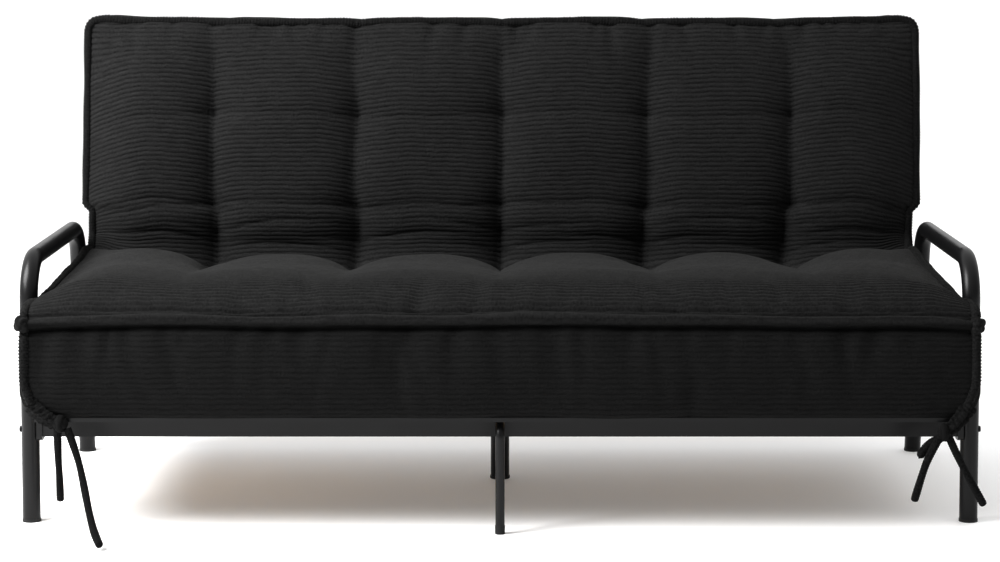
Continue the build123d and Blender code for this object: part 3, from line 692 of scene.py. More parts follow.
    def _where_z(self, z: float, low: float, high: float) -> float:
        """Distance along the side view, between two limits, where it reaches a height."""
        part = (self.run >= low) & (self.run <= high)
        return float(self.run[part][np.argmin(abs(self.curve[part, 1] - z))])

    def _values(self, s: np.ndarray) -> np.ndarray:
        """Side-view values at distances s."""
        return np.stack([np.interp(s, self.run, self.curve[:, k]) for k in range(6)], axis=1)

    def _out(self, s: np.ndarray) -> np.ndarray:
        """Outward direction in the side view.

        Args:
            s: distances along the side view.

        Returns:
            (n, 2) unit vectors, rounded over the seams.
        """
        reach = 0.012
        ahead = self._values(np.clip(s + reach, 0, self.length))[:, :2]
        behind = self._values(np.clip(s - reach, 0, self.length))[:, :2]
        along = ahead - behind
        along /= np.linalg.norm(along, axis=1)[:, None]
        return np.stack([-along[:, 1], along[:, 0]], axis=1)

    def half_at(self, s: np.ndarray, y: np.ndarray, z: np.ndarray) -> np.ndarray:
        """Half width: narrow between the hoops, full in front of and above them, round at the top.

        Args:
            s: distances along the side view.
            y: distances behind the front legs.
            z: heights.

        Returns:
            Half the mattress's width at each.
        """
        beside = smooth(-0.052, -0.032, y) * (1.0 - smooth(self.top_z, self.top_z + 0.022, z))
        half = self.half_width + (self.waist_half - self.half_width) * beside
        half -= 0.026 * (1.0 - smooth(0.236, 0.325, z)) * (y < 0.0)
        near = np.clip((s - (self.top_s - self.corner)) / self.corner, 0.0, 1.0)
        return half - self.corner * (1.0 - np.sqrt(1.0 - near**2 * 0.999))

    def deck_half(self, s: np.ndarray) -> np.ndarray:
        """Half width of the deck side, which keeps clear of the hoops wherever it is low."""
        v = self._values(s)
        return self.half_at(s, v[:, 0], np.where(v[:, 0] > 0.3, v[:, 5], v[:, 1]))

    @staticmethod
    def _gathers(rows: Iterable[tuple[float, ...]], x: np.ndarray, gone: np.ndarray) -> np.ndarray:
        """Narrow folds that start on a seam and die away from it.

        Args:
            rows: x, width, depth, slant and reach of each fold.
            x: places across.
            gone: distances from the seam, which do not count where they are negative.

        Returns:
            Their depth, as a share.
        """
        total = np.zeros_like(x)
        gone = np.where(gone > 0, gone, 9.0)
        for place, width, depth, slant, reach in rows:
            total += depth * bump(0.0, width, x - place - slant * gone) * np.exp(-((gone / reach) ** 2))
        return total

    @staticmethod
    def _short_folds(rows: Iterable[tuple[float, ...]], width: float, slant: float,
                     x: np.ndarray, along: np.ndarray) -> np.ndarray:
        """Depth of short folds, each round one point.

        Args:
            rows: x, place along, length and depth of each fold.
            width: their width.
            slant: how far they lean across.
            x: places across.
            along: places along.

        Returns:
            Their depth in metres.
        """
        total = np.zeros_like(x)
        for place, middle, tall, deep in rows:
            total += deep * bump(place, width, x + slant * (along - middle)) * bump(middle, tall, along)
        return total

    def _arch(self, x: np.ndarray) -> np.ndarray:
        """Height of the lobes across the mattress.

        Args:
            x: places across.

        Returns:
            0 on a tuft line to 1 midway between two, and a little more beside the side seams.
        """
        beyond = 0.06
        edges = (-self.half_width - beyond, *self.tuft_xs, self.half_width + beyond)
        arch = np.zeros_like(x)
        for low, high in zip(edges, edges[1:]):
            t = (x - low) / (high - low) * 2.0 - 1.0
            inside = abs(t) <= 1.0
            outer = 1.28 if low < self.tuft_xs[0] or high > self.tuft_xs[-1] else 1.0
            arch[inside] = outer * (1.0 - abs(t[inside]) ** 2.3) ** 0.8
        return arch

    def _tufting(self, x: np.ndarray, s: np.ndarray, rise: np.ndarray, arch: np.ndarray) -> np.ndarray:
        """Depth of the tuft lines, of the tufts and of the sewn rows between them.

        Args:
            x: places across.
            s: distances along the side view.
            rise: how far the filling has risen from the side seams, from 0 to 1.
            arch: height of the lobes, from 0 to 1.

        Returns:
            Depth in metres.
        """
        # tuft lines: sharp creases on the back, fading forward on the seat
        back_part = smooth(self.crease_s - 0.05, self.crease_s + 0.06, s)
        to_top = smooth(self.top_s - 0.005, self.top_s - 0.09, s)
        seat_fade = smooth(self.crease_s - 0.30, self.crease_s - 0.02, s) * (1.0 - back_part)
        above = smooth(self.tuft_s - 0.01, self.tuft_s + 0.10, s)
        depth = np.zeros_like(x)
        for k, x_tuft in enumerate(self.tuft_xs):
            off = x - x_tuft - 0.004 * np.sin(s * 23.0 + k * 1.7)
            sharp = 0.009 * (1.0 - (0.75 if abs(x_tuft) > 0.5 else 0.35) * above)
            depth += rise * back_part * (0.35 + 0.65 * to_top) * sharp * np.exp(-abs(off) / 0.010)
            depth += rise * back_part * to_top * 0.006 * bump(0.0, 0.030, off)
            depth += seat_fade * 0.010 * np.exp(-abs(off) / 0.014)
            for row_s, deep in ((self.tuft_s, 0.010), (self.low_tuft_s, 0.008)):
                depth += deep * np.exp(-np.sqrt((off / 0.034) ** 2 + ((s - row_s) / 0.028) ** 2))
        # the sewn rows, deepest beside the tufts
        row_wave = 0.006 * np.sin(x * 9.0 + 0.6)
        by_tuft = 1.25 - 0.6 * np.clip(arch, 0, 1)
        for row_s, deep, wide in ((self.tuft_s, 0.0065, 0.016), (self.low_tuft_s, 0.0075, 0.012)):
            gap = s - row_s - row_wave + 0.010 * arch
            depth += rise * deep * by_tuft * np.exp(-abs(gap) / wide)
        # folds where the back is pressed against the seat
        for place, deep, wide, phase in self.pressed_folds:
            line = self.crease_s + place + 0.020 * (arch - 0.6) + 0.006 * np.sin(x * 7.0 + phase) + 0.004
            strength = (0.55 + 0.45 * np.sin(x * 11.0 + phase * 2.0)) * (0.35 + 0.65 * np.clip(arch, 0, 1))
            depth += rise * deep * strength * np.exp(-abs(s - line) / wide)
        return depth

    def _creasing(self, x: np.ndarray, s: np.ndarray) -> np.ndarray:
        """Depth of the gathers below the welt, over the shoulder and under the top seam, and of loose folds.

        Args:
            x: places across.
            s: distances along the side view.

        Returns:
            Depth in metres.
        """
        down = self.top_s - s
        behind = s - self.welt_s
        depth = 0.0058 * self._gathers(self.ripples, x, -behind - 0.008)
        depth += 0.0045 * self._gathers(self.shoulder_folds, x, behind - 0.014)
        depth += 0.0070 * self._gathers(self.puckers, x, down) * smooth(0, 0.008, down)
        depth += self._short_folds(self.dents, 0.012, 0.1, x, s)
        depth += self._short_folds(self.seat_creases, 0.008, 0.15, x, behind)
        return depth

    def face(self, a: np.ndarray, b: np.ndarray) -> np.ndarray:
        """Place on the face.

        Args:
            a: share of the way across, from the left side.
            b: share of the way along the side view.

        Returns:
            (n, 3) positions.
        """
        s = b * self.length
        v = self._values(s)
        out = self._out(s)
        across = a * 2.0 - 1.0
        x = across * self.half_width
        from_edge = self.half_width - abs(x)
        rise = 1.0 - (1.0 - np.clip(from_edge / 0.17, 0.0, 1.0)) ** 2.6
        arch = self._arch(x)

        # between tufts the filling stands up as a lobe, and each tuft line is a soft valley
        lift = rise * (v[:, 2] + v[:, 3] * arch)
        lift -= self._tufting(x, s, rise, arch) + self._creasing(x, s)
        for fx, fs, phase in self.waves:
            lift += 0.0011 * rise * np.sin(x * fx * 2.2 + phase) * np.sin(s * fs * 2.6 + phase * 1.9)

        # the rolled welt along the front edge, with a groove on each side
        wavy = 0.0022 * np.sin(x * 6.3 + 0.8) + 0.0012 * np.sin(x * 17.0) + 0.002
        wavy -= 0.012 * np.exp(-from_edge / 0.09)
        over = s - self.welt_s - wavy
        roll = np.clip(1.0 - ((over + 0.002) / 0.0090) ** 2, 0.0, 1.0) ** 0.5
        lift += 0.0100 * roll - 0.0050 * bump(0.012, 0.0045, over) - 0.0110 * bump(-0.0165, 0.0050, over)

        # ribs: flatter on the boxing, and proud where the cloth is stretched over the shoulder
        flat = 0.55 + 0.45 * smooth(self.welt_s, self.welt_s + 0.02, s)
        flat += 0.90 * bump(self.welt_s + 0.055, 0.035, s) + 0.30 * smooth(self.low_tuft_s, self.tuft_s, s)
        uneven = 1.0 + 0.18 * np.sin(x * 47.0 + s * 61.0) * np.sin(x * 19.0 - s * 23.0)
        proud = self.rib_height * flat * uneven * (1.0 - 0.35 * roll)
        lift += proud * self.wale(x, s) * self._rib_fade(s, from_edge)

        # the cloth is dragged down towards the tuft lines and the side seams
        body = smooth(self.crease_s, self.crease_s + 0.12, s) * smooth(self.top_s, self.top_s - 0.12, s)
        drag = 0.011 * (1.0 - arch) + 0.034 * (1.0 - np.clip(from_edge / 0.19, 0.0, 1.0)) ** 2.0
        drag = body * (drag + 0.0012 * np.sin(x * 31.0 + s * 9.0))
        moved = self._values(np.clip(s - drag, 0.0, self.length))
        y, z = moved[:, 0], moved[:, 1]
        half = self.half_at(s, y, z)

        # the back leans a little to one side, with raised corners and lobes along its top
        lean_x = 0.004 * smooth(self.crease_s, self.tuft_s, s)
        ears = 0.009 * np.exp(-from_edge / 0.055) + 0.0035 * (np.clip(arch, 0, 1) - 0.6)
        z = z + ears * smooth(self.tuft_s, self.top_s, s)
        z = z + 0.036 * bump(self.crease_s, 0.085, s) * np.exp(-((from_edge / 0.06) ** 2))
        return np.stack([across * half + lean_x, LEG_Y + y + out[:, 0] * lift, z + out[:, 1] * lift], axis=1)

    def wale(self, x: np.ndarray, s: np.ndarray) -> np.ndarray:
        """Rib height by the place on the cloth.

        Args:
            x: places across.
            s: distances along the side view.

        Returns:
            0 in a groove to 1 on a crest.
        """
        wander = 0.0007 * np.sin(x * 61.0 + s * 9.0) + 0.0006 * np.sin(x * 143.0 - s * 37.0)
        wander += 0.0005 * np.sin(x * 367.0 + s * 83.0)
        part = np.mod((np.interp(s, self.run, self.cloth_run) + wander) / self.rib_pitch, 1.0)
        return 1.0 - abs(2.0 * part - 1.0) ** 3.0

    def _rib_fade(self, s: np.ndarray, from_edge: np.ndarray) -> np.ndarray:
        """Ribs run out where the cloth turns into a seam."""
        ends = smooth(0.0, 0.01, s) * smooth(0.0, 0.01, self.length - s)
        return smooth(0.0, 0.012, from_edge) * ends

    def side(self, hand: Side) -> Place:
        """Side panel between the face's edge and the deck side.

        Args:
            hand: which side.

        Returns:
            Its place function, from the face seam, at 0, to the bottom seam, at 1.
        """
        edge = 1.0 if hand is Side.RIGHT else 0.0

        def place(a: np.ndarray, b: np.ndarray) -> np.ndarray:
            """Bulged strip with its own ribs.

            Args:
                a: share of the way from the face seam to the bottom seam.
                b: share of the way along the side view.

            Returns:
                (n, 3) positions.
            """
            top = self.face(np.full_like(b, edge), b)
            v = self._values(b * self.length)
            half = self.deck_half(b * self.length)
            low = np.stack([hand * half, LEG_Y + v[:, 4], v[:, 5]], axis=1)
            point = top + (low - top) * a[:, None]
            wide = np.linalg.norm(low - top, axis=1)
            tight = smooth(self.waist_half + 0.001, self.half_width, half)
            bulge = (0.006 + 0.004 * tight) * np.sin(math.pi * a) * smooth(0.0, 0.08, wide)
            across = np.mod(a * wide / self.rib_pitch, 1.0)
            rib = 0.0014 * (1.0 - abs(2.0 * across - 1.0) ** 3.0) * smooth(0, 0.01, a * wide)
            rib *= smooth(0.0, 0.01, (1 - a) * wide)
            point[:, 0] += hand * (bulge + rib)
            return point

        return place

    def bottom(self, a: np.ndarray, b: np.ndarray) -> np.ndarray:
        """Flat closing panel against the decks."""
        v = self._values(b * self.length)
        half = self.deck_half(b * self.length)
        return np.stack([(a * 2.0 - 1.0) * half, LEG_Y + v[:, 4], v[:, 5]], axis=1)

    def make_body(self) -> bpy.types.Object:
        """Make the padded body.

        Returns:
            Ribbed face, both side panels and the closing panel as one closed mesh.
        """
        rows = int(round(self.length / self.row_step))
        columns = int(round(2 * self.half_width / self.column_step))
        side_columns = self.side_columns

        def cloth(a: np.ndarray, b: np.ndarray) -> np.ndarray:
            """Cloth coordinates of the face in metres."""
            return np.stack([(a * 2 - 1) * self.half_width, b * self.length], axis=1)

        def side_cloth(a: np.ndarray, b: np.ndarray) -> np.ndarray:
            """Cloth coordinates of a side panel, turned so that ribs run along it."""
            return np.stack([b * self.length + 3.0, a * 0.2], axis=1)

        bm = bmesh.new()
        add_patch(bm, rows, columns, self.face, cloth)
        for hand in Side:
            add_patch(bm, rows, side_columns, self.side(hand), side_cloth)
        add_patch(bm, rows, 3, self.bottom, cloth)
        bmesh.ops.remove_doubles(bm, verts=bm.verts[:], dist=2e-5)
        bmesh.ops.holes_fill(bm, edges=[e for e in bm.edges if e.is_boundary], sides=0)
        piece = from_bmesh("tufted_mattress", bm)
        self._mark_wales(piece)
        return piece

    def _mark_wales(self, piece: bpy.types.Object) -> None:
        """Store rib height and painted shade as attributes, which the finish reads for its colour.

        Args:
            piece: the mattress body, with its cloth coordinates.
        """
        mesh = piece.data
        uv = np.zeros(len(mesh.loops) * 2)
        mesh.uv_layers["cloth"].data.foreach_get("uv", uv)
        index = np.zeros(len(mesh.loops), int)
        mesh.loops.foreach_get("vertex_index", index)
        x, s = uv[0::2], uv[1::2]
        # painted shade: the boxing is drawn darkest, with a painted shadow line just under the welt, the seat
        # lightest and the back darker than the seat
        nap_and_painted_shade = self.boxing_painted_shade + 0.20 * smooth(self.welt_s - 0.012, self.welt_s - 0.004, s)
        nap_and_painted_shade -= 0.18 * bump(self.welt_s - 0.0165, 0.005, s)
        nap_and_painted_shade += 0.52 * smooth(self.welt_s + 0.06, self.welt_s + 0.40, s)
        nap_and_painted_shade -= 0.33 * smooth(self.crease_s - 0.05, self.crease_s + 0.05, s)
        for name, loops in (("wale", self.wale(x, s)), ("nap_and_painted_shade", nap_and_painted_shade)):
            values = np.zeros(len(mesh.vertices))
            values[index] = loops
            mesh.attributes.new(name, "FLOAT", "POINT").data.foreach_set("value", values)

    def seam(self, hand: Side, start: float, stop: float, step: float = 0.0022) -> np.ndarray:
        """Points of the face's side seam.

        Args:
            hand: which side.
            start: first distance along the side view.
            stop: last distance.
            step: space between two points.

        Returns:
            (n, 3) positions.
        """
        s = np.arange(start, stop, step)
        edge = np.full_like(s, 1.0 if hand is Side.RIGHT else 0.0)
        return self.face(edge, s / self.length)

    def make_piping(self) -> bpy.types.Object:
        """One piped seam up both sides and across the top of the mattress's face.

        Returns:
            The piping.
        """
        left = self.seam(Side.LEFT, 0.002, self.top_s)
        right = self.seam(Side.RIGHT, 0.002, self.top_s)
        across = np.linspace(0.0, 1.0, 800)
        top = self.face(across, np.full_like(across, self.top_s / self.length))
        inner = (across > 0.004) & (across < 0.996)
        path = np.vstack([left, top[inner], right[::-1]])
        for _ in range(3):
            path[1:-1] = (path[:-2] + 2 * path[1:-1] + path[2:]) / 4
        path = resampled(path, np.arange(0.0, run_along(path)[-1], 0.0024))

        def radius(turn: np.ndarray, along: np.ndarray) -> np.ndarray:
            """Piping with the rib cord's wales wrapped round it on a slant."""
            wrap = np.sin(along / 0.0068 * 2 * math.pi + turn)
            slow = 0.06 * np.sin(along * 21.0) + 0.04 * np.sin(along * 47.0 + 1.0)
            return self.piping_radius * (1.0 + 0.17 * wrap + slow)

        return tube_along("mattress_piping", path, radius, 10)

    def make_base_cloth(self) -> bpy.types.Object:
        """Twill lining sewn under the mattress, flat against the decks.

        Returns:
            The lining.
        """
        first, last = 0.03, 0.995

        def place(a: np.ndarray, b: np.ndarray) -> np.ndarray:
            """Just outside the closing panel, and a little narrower.

            Args:
                a: share of the way across.
                b: share of the way along the lining.

            Returns:
                (n, 3) positions.
            """
            s = self.length * (first + (last - first) * b)
            v = self._values(s)
            half = self.deck_half(s) - 0.004
            ahead = self._values(np.clip(s + 0.01, 0, self.length))[:, 4:6]
            behind = self._values(np.clip(s - 0.01, 0, self.length))[:, 4:6]
            along = ahead - behind
            along /= np.maximum(np.linalg.norm(along, axis=1), 1e-9)[:, None]
            proud = 0.0004
            return np.stack([(a * 2.0 - 1.0) * half, LEG_Y + v[:, 4] + along[:, 1] * proud,
                             v[:, 5] - along[:, 0] * proud], axis=1)

        bm = bmesh.new()
        add_patch(bm, 160, 96, place, lambda a, b: np.stack([a * 1.9, b * self.length], axis=1))
        return from_bmesh("mattress_base_cloth", bm)

    def make_knobs(self) -> list[bpy.types.Object]:
        """Bunched piping at the two front top corners.

        Returns:
            The left and the right knob.
        """
        knobs = []
        for hand in Side:
            here = self.seam(hand, self.welt_s - 0.002, self.welt_s + 0.002)[0]
            bm = bmesh.new()
            bmesh.ops.create_uvsphere(bm, u_segments=28, v_segments=18, radius=0.0155)
            for vert in bm.verts:
                turn = math.atan2(vert.co.z, vert.co.x)
                vert.co *= 1.0 + 0.14 * math.sin(turn * 4.0 + vert.co.y * 260.0)
            bmesh.ops.scale(bm, vec=(0.95, 1.05, 1.05), verts=bm.verts[:])
            bmesh.ops.translate(bm, vec=Vector(here) + Vector((hand * 0.004, -0.001, -0.006)),
                                verts=bm.verts[:])
            bm.loops.layers.uv.new("cloth")
            knobs.append(from_bmesh(f"corner_knob_{hand.word}", bm))
        return knobs

    def fold(self, piece: bpy.types.Object) -> None:
        """Bake a piece's placement into its mesh; the fold line between the decks is worked out but nothing is
        bent about it.

        Args:
            piece: a finished cloth piece that lies over both decks.
        """
        foot = Vector((0.0, HINGE.y - 0.011, DECK_TOP))
        top = Vector((0.0, LEG_Y + 0.642, 0.470))
        line = (top - foot).normalized()
        normal = Vector((0.0, line.z, -line.y))
        if normal.y < 0:
            normal = -normal
        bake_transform(piece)

    def build(self) -> None:
        """Make and dress every mattress piece, and hang the corner knobs on the seat deck."""
        body = self.make_body()
        self.finishes.dress(body, RIB_CORD)
        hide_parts("mattress_cover_seat", "mattress_filling_seat",
                    "mattress_cover_back", "mattress_filling_back")
        piping = self.make_piping()
        self.finishes.dress(piping, PLAIN_PILE)
        cloth = self.make_base_cloth()
        self.finishes.dress(cloth, LINING)
        for piece in (body, piping, cloth):
            self.fold(piece)
            log.info("%s: %d faces", piece.name, len(piece.data.polygons))
        for knob in self.make_knobs():
            self.finishes.cloth_on_seat(knob, PLAIN_PILE)


# --------------------------------------------------------------------------------------- ties

@dataclass(frozen=True)
class TieTail:
    """One hanging end of a cover tie: its route as (x, z, distance in front), in millimetres."""

    name: str
    route: tuple[tuple[float, float, float], ...]
    lay: str = "hanging"


TAILS = (
    TieTail("left_short", ((-898, 0, 224), (-898, -1, 170), (-895, -3, 120), (-894, 0, 74))),
    TieTail("left_long", (
        (-878, 0, 225), (-859, 4, 174), (-846, 17, 128), (-836, 36, 92),
        (-824, 62, 55), (-811, 88, 26), (-796, 118, 10))),
    TieTail("right_inner", ((894, 1, 210), (870, 5, 170), (855, 4, 124), (842, -1, 74))),
    TieTail("right_outer", ((910, 1, 210), (930, 7, 164), (956, 12, 116), (983, 10, 68))),
)


@dataclass
class Ties:
    """The cover's corner ties: gathered corner, knot and two soft tails on each side."""

    finishes: Finishes
    diameter: float = 0.0165
    front: float = 0.150           # the ties hang this far in front of the front legs
    knots: dict[str, tuple[float, float]] = field(default_factory=lambda: {
        "left": (-0.892, 0.234), "right": (0.902, 0.217)})
    corners: dict[str, tuple[float, float]] = field(default_factory=lambda: {
        "left": (-0.952, 0.272), "right": (0.955, 0.270)})

    def centreline(self, tail: TieTail) -> np.ndarray:
        """Points along the tail's own smooth spline.

        Args:
            tail: the tail.

        Returns:
            (n, 3) positions from the knot to the loose end.
        """
        curve = bpy.data.curves.new(f"{tail.name}_route", "CURVE")
        curve.dimensions = "3D"
        curve.resolution_u = 14
        spline = curve.splines.new("NURBS")
        spline.points.add(len(tail.route) - 1)
        for point, (x, out, z) in zip(spline.points, tail.route):
            point.co = (x * MM, LEG_Y - self.front - out * MM, z * MM, 1.0)
        spline.order_u = 3
        spline.use_endpoint_u = True
        holder = linked(f"{tail.name}_route", curve)
        mesh = bpy.data.meshes.new_from_object(holder)
        line = np.array([v.co[:] for v in mesh.vertices])
        bpy.data.objects.remove(holder)
        bpy.data.meshes.remove(mesh)
        bpy.data.curves.remove(curve)
        return line

    def make_tail(self, tail: TieTail) -> None:
        """Args:
            tail: the tail.
        """
        line = self.centreline(tail)
        length = float(run_along(line)[-1])
        path = resampled(line, np.linspace(0.0, length, int(length / 0.0011)))

        def radius(turn: np.ndarray, along: np.ndarray) -> np.ndarray:
            """Ribbed tube, a little uneven, rounded over its last few millimetres.

            Args:
                turn: angles round the tail.
                along: distances along it.

            Returns:
                Radii in metres.
            """
            knit = 0.05 * np.sin(along / 0.0055 * 2 * math.pi + 2.0 * turn)
            uneven = 0.05 * np.sin(along * 60.0) + 0.03 * np.sin(turn * 2.0 + along * 20.0)
            end = np.clip((length - along) / 0.006, 0.0, 1.0)
            return self.diameter / 2 * (0.95 + knit + uneven) * np.sqrt(1.0 - (1.0 - end) ** 2 * 0.98)

        piece = tube_along(f"tie_{tail.name}", path, radius, 14)
        self.finishes.cloth_on_seat(piece, SHADED_TIE_PILE)
        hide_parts(f"tie_tail_{tail.name}")
        log.info("%s: %.3f m", piece.name, length)

    def make_gather(self, side_word: str) -> bpy.types.Object:
        """The cover's corner, drawn into a roll of folds that ends in the knot.

        Args:
            side_word: left or right.

        Returns:
            The roll.
        """
        x0, z0 = self.corners[side_word]
        x1, z1 = self.knots[side_word]
        start = np.array([x0, LEG_Y - self.front + 0.012, z0])
        end = np.array([x1, LEG_Y - self.front + 0.002, z1])
        t = np.linspace(0.0, 1.0, 60)[:, None]
        sag = np.array([0.0, -0.004, -0.006]) * np.sin(math.pi * t)
        path = start + (end - start) * t + sag
        length = float(np.linalg.norm(end - start))

        def radius(turn: np.ndarray, along: np.ndarray) -> np.ndarray:
            """Wide at the cover, narrow at the knot, with folds running along it.

            Args:
                turn: angles round the roll.
                along: distances along it.

            Returns:
                Radii in metres.
            """
            near = np.clip(along / length, 0.0, 1.0)
            folds = 0.16 * np.sin(turn * 5.0 + near * 1.3) + 0.08 * np.sin(turn * 9.0 + near * 3.0)
            lumps = 0.10 * np.sin(along * 420.0 + 2.0 * turn) * np.sin(along * 150.0 + turn)
            return (0.0165 - 0.0045 * near) * (1.0 + folds + lumps)

        return tube_along(f"tie_gather_{side_word}", path, radius, 40)

    def make_knot(self, side_word: str) -> bpy.types.Object:
        """Knot of the tie.

        Args:
            side_word: left or right.

        Returns:
            A tight core with three wraps of tape over it.
        """
        x, z = self.knots[side_word]
        centre = Vector((x, LEG_Y - self.front, z))
        bm = bmesh.new()
        bmesh.ops.create_uvsphere(bm, u_segments=36, v_segments=24, radius=0.0150)
        for vert in bm.verts:
            turn = math.atan2(vert.co.z, vert.co.x)
            vert.co *= 1.0 + 0.10 * math.sin(3.0 * turn + vert.co.y * 300.0) * math.cos(vert.co.z * 210.0)
        bmesh.ops.translate(bm, vec=centre, verts=bm.verts[:])
        bm.loops.layers.uv.new("cloth")
        wraps = ((0.5, 0.2, 0.0128, 0.0064), (-0.7, 0.5, 0.0122, 0.0066), (1.3, -0.3, 0.0112, 0.0060))
        for tilt, lean, ring, thick in wraps:
            made = bmesh.ops.create_circle(bm, cap_ends=False, segments=12, radius=thick)["verts"]
            bmesh.ops.translate(bm, vec=(ring, 0.0, 0.0), verts=made)
            bmesh.ops.rotate(bm, cent=(ring, 0, 0), matrix=Matrix.Rotation(math.pi / 2, 3, "X"), verts=made)
            edges = list({e for v in made for e in v.link_edges})
            spun = bmesh.ops.spin(bm, geom=made + edges, cent=(0, 0, 0), axis=(0, 0, 1),
                                  angle=2 * math.pi, steps=30, use_merge=True)
            ring_verts = set(made) | {g for g in spun["geom_last"] if isinstance(g, bmesh.types.BMVert)}
            grown = set(ring_verts)
            while True:
                more = {e.other_vert(v) for v in grown for e in v.link_edges} - grown
                if not more:
                    break
                grown |= more
            turned = Matrix.Rotation(tilt, 3, "X") @ Matrix.Rotation(lean + 1.2, 3, "Y")
            bmesh.ops.rotate(bm, cent=(0, 0, 0), matrix=turned, verts=list(grown))
            bmesh.ops.translate(bm, vec=centre, verts=list(grown))
        return from_bmesh(f"tie_knot_{side_word}_wraps", bm)

    def make_stub(self) -> bpy.types.Object:
        """Short loop of tape that stands out behind the right knot.

        Returns:
            The loop.
        """
        x, z = self.knots["right"]
        start = np.array([x - 0.004, LEG_Y - self.front + 0.006, z - 0.012])
        end = start + np.array([-0.046, 0.004, -0.044])
        t = np.linspace(0.0, 1.0, 50)[:, None]
        path = start + (end - start) * t + np.array([-0.004, 0.0, 0.006]) * np.sin(math.pi * t)
        length = float(np.linalg.norm(end - start))

        def radius(turn: np.ndarray, along: np.ndarray) -> np.ndarray:
            """Doubled tape, thick and blunt."""
            knit = 0.05 * np.sin(along / 0.0055 * 2 * math.pi + turn)
            end_round = np.sqrt(1.0 - (1.0 - np.clip((length - along) / 0.008, 0.0, 1.0)) ** 2 * 0.97)
            return 0.0082 * (1.0 + knit + 0.10 * np.cos(2.0 * turn)) * end_round

        return tube_along("tie_loop_right", path, radius, 16)

    def build(self) -> None:
        """Make the tails first, then the knots and gathers that they come from."""
        for tail in TAILS:
            self.make_tail(tail)
        extras = [self.make_stub()]
        for word in self.knots:
            knot = self.make_knot(word)
            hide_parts(f"tie_knot_{word}")
            extras += [knot, self.make_gather(word)]
        for piece in extras:
            self.finishes.cloth_on_seat(piece, SHADED_TIE_PILE)


# -------------------------------------------------------------------------------------- frame

@dataclass
class SteelFrame:
    """Every rigid piece, whose shape comes from the frame and only needs its finish."""

    finishes: Finishes

    def finish_for(self, name: str, slot: str) -> Finish:
        """The finish that a node calls for.

        Args:
            name: the node's name.
            slot: its material slot in the record.

        Returns:
            The finish.
        """
        if slot == Slot.WOOD.value:
            return SEAT_WOOD if name.startswith("seat") else BACK_WOOD
        return {
            Slot.STEEL.value: POWDER_COAT,
            Slot.FASTENER.value: BLACK_OXIDE,
            Slot.PLASTIC.value: MOULDED,
            Slot.NYLON.value: NYLON,
            Slot.RUBBER.value: RUBBER,
        }.get(slot, LINING)

    def build(self) -> None:
        """Dress every node that stays visible."""
        slots = {part["node"]: part["material_slot"] for part in frame["record"]["subparts"]}
        for name, piece in frame["nodes"].items():
            if piece.hide_render:
                continue
            self.finishes.dress(piece, self.finish_for(name, slots[name]))
            log.info("%s dressed", name)


# ------------------------------------------------------------------------------------- studio

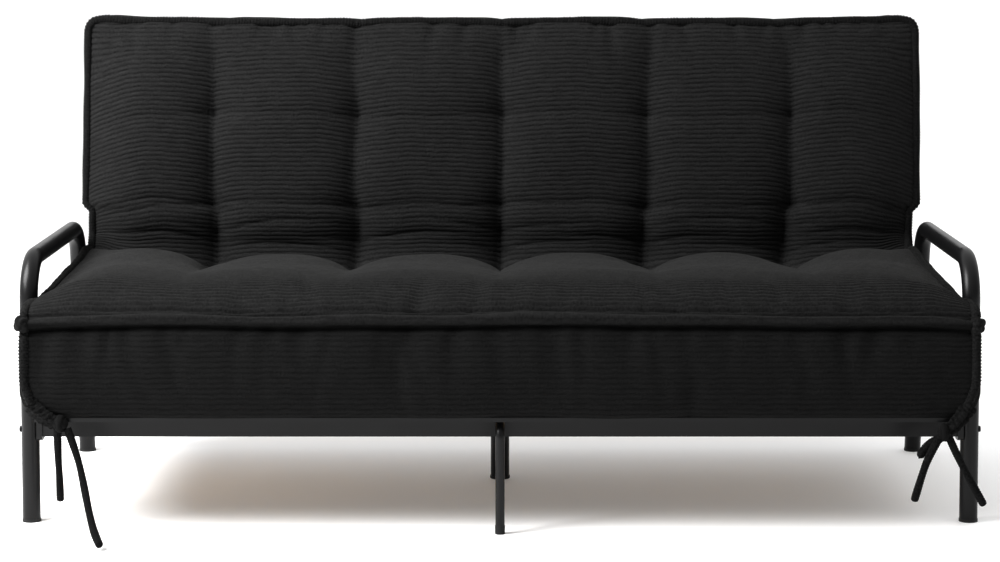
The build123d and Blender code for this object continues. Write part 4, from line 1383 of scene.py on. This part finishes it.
@dataclass
class Studio:
    """White sweep, soft light from the upper left, and the camera."""

    focal_mm: float = 93.6
    sensor_mm: float = 36.0
    pitch_deg: float = 4.415
    camera_back: float = 5.3635    # in front of the front legs
    camera_height: float = 1.2355
    lens_shift: float = -0.1513
    bright_from: tuple[float, float, float] = (-0.25, 0.45, 0.86)
    room_dim: float = 0.15
    room_bright: float = 1.45
    floor_white: float = 0.96
    floor_glow: float = 0.10       # a back-lit acrylic sweep
    key_place: tuple[float, float, float] = (-2.6, LEG_Y - 0.95, 2.55)
    key_aim: tuple[float, float, float] = (-0.3, LEG_Y + 0.3, 0.6)
    key_size: float = 2.0
    key_power: float = 380.0

    def place_camera(self) -> None:
        """Camera straight in front, looking slightly down."""
        data = bpy.data.cameras.new("camera")
        data.lens = self.focal_mm
        data.sensor_width = self.sensor_mm
        data.shift_y = self.lens_shift
        camera = bpy.data.objects.new("camera", data)
        camera.location = (0.0, LEG_Y - self.camera_back, self.camera_height)
        camera.rotation_euler = (math.radians(90.0 - self.pitch_deg), 0.0, 0.0)
        bpy.context.scene.collection.objects.link(camera)
        bpy.context.scene.camera = camera

    def light(self, name: str, place: Sequence[float], aim: Sequence[float], size: float,
              power: float) -> None:
        """Add one square area light.

        Args:
            name: the light's name.
            place: where it stands.
            aim: the point it faces.
            size: its side in metres.
            power: its power in watts.
        """
        data = bpy.data.lights.new(name, "AREA")
        data.size = size
        data.energy = power
        lamp = bpy.data.objects.new(name, data)
        lamp.location = place
        lamp.rotation_euler = (Vector(aim) - Vector(place)).to_track_quat("-Z", "Y").to_euler()
        bpy.context.scene.collection.objects.link(lamp)

    def make_floor(self) -> None:
        """Pale floor under and far behind the sofa."""
        bm = bmesh.new()
        bmesh.ops.create_grid(bm, x_segments=2, y_segments=2, size=90.0)
        floor = from_bmesh("studio_floor", bm, soft=False)
        material = bpy.data.materials.new("studio_white")
        material.use_nodes = True
        shader = material.node_tree.nodes["Principled BSDF"]
        shader.inputs["Base Color"].default_value = (*[self.floor_white] * 3, 1.0)
        shader.inputs["Roughness"].default_value = 0.85
        shader.inputs["Emission Color"].default_value = (1.0, 1.0, 1.0, 1.0)
        shader.inputs["Emission Strength"].default_value = self.floor_glow
        floor.data.materials.append(material)

    def light_world(self) -> None:
        """Soft white room: bright above and behind the sofa, dim in front of it."""
        world = bpy.data.worlds.new("studio_world")
        world.use_nodes = True
        tree = world.node_tree
        where = node(tree, "ShaderNodeTexCoord").outputs["Generated"]
        toward = node(tree, "ShaderNodeVectorMath", {"operation": "DOT_PRODUCT", 1: self.bright_from},
                      {0: where})
        level = node(tree, "ShaderNodeMapRange",
                     {"From Min": -0.5, "From Max": 0.9, "To Min": self.room_dim, "To Max": self.room_bright},
                     {"Value": toward.outputs["Value"]})
        back = tree.nodes["Background"]
        back.inputs["Color"].default_value = (1.0, 1.0, 1.0, 1.0)
        tree.links.new(level.outputs["Result"], back.inputs["Strength"])
        bpy.context.scene.world = world

    def build(self) -> None:
        """Set up camera, floor, world and lights."""
        self.place_camera()
        self.make_floor()
        self.light_world()
        bpy.context.scene.view_settings.view_transform = "Standard"
        self.light("key_softbox", self.key_place, self.key_aim, self.key_size, self.key_power)
        log.info("studio ready")


def main() -> None:
    """Build the scene in order: studio, ties, mattress, frame."""
    finishes = Finishes()
    Studio().build()
    Ties(finishes).build()
    Mattress(finishes).build()
    SteelFrame(finishes).build()


if __name__ == "__main__":
    main()
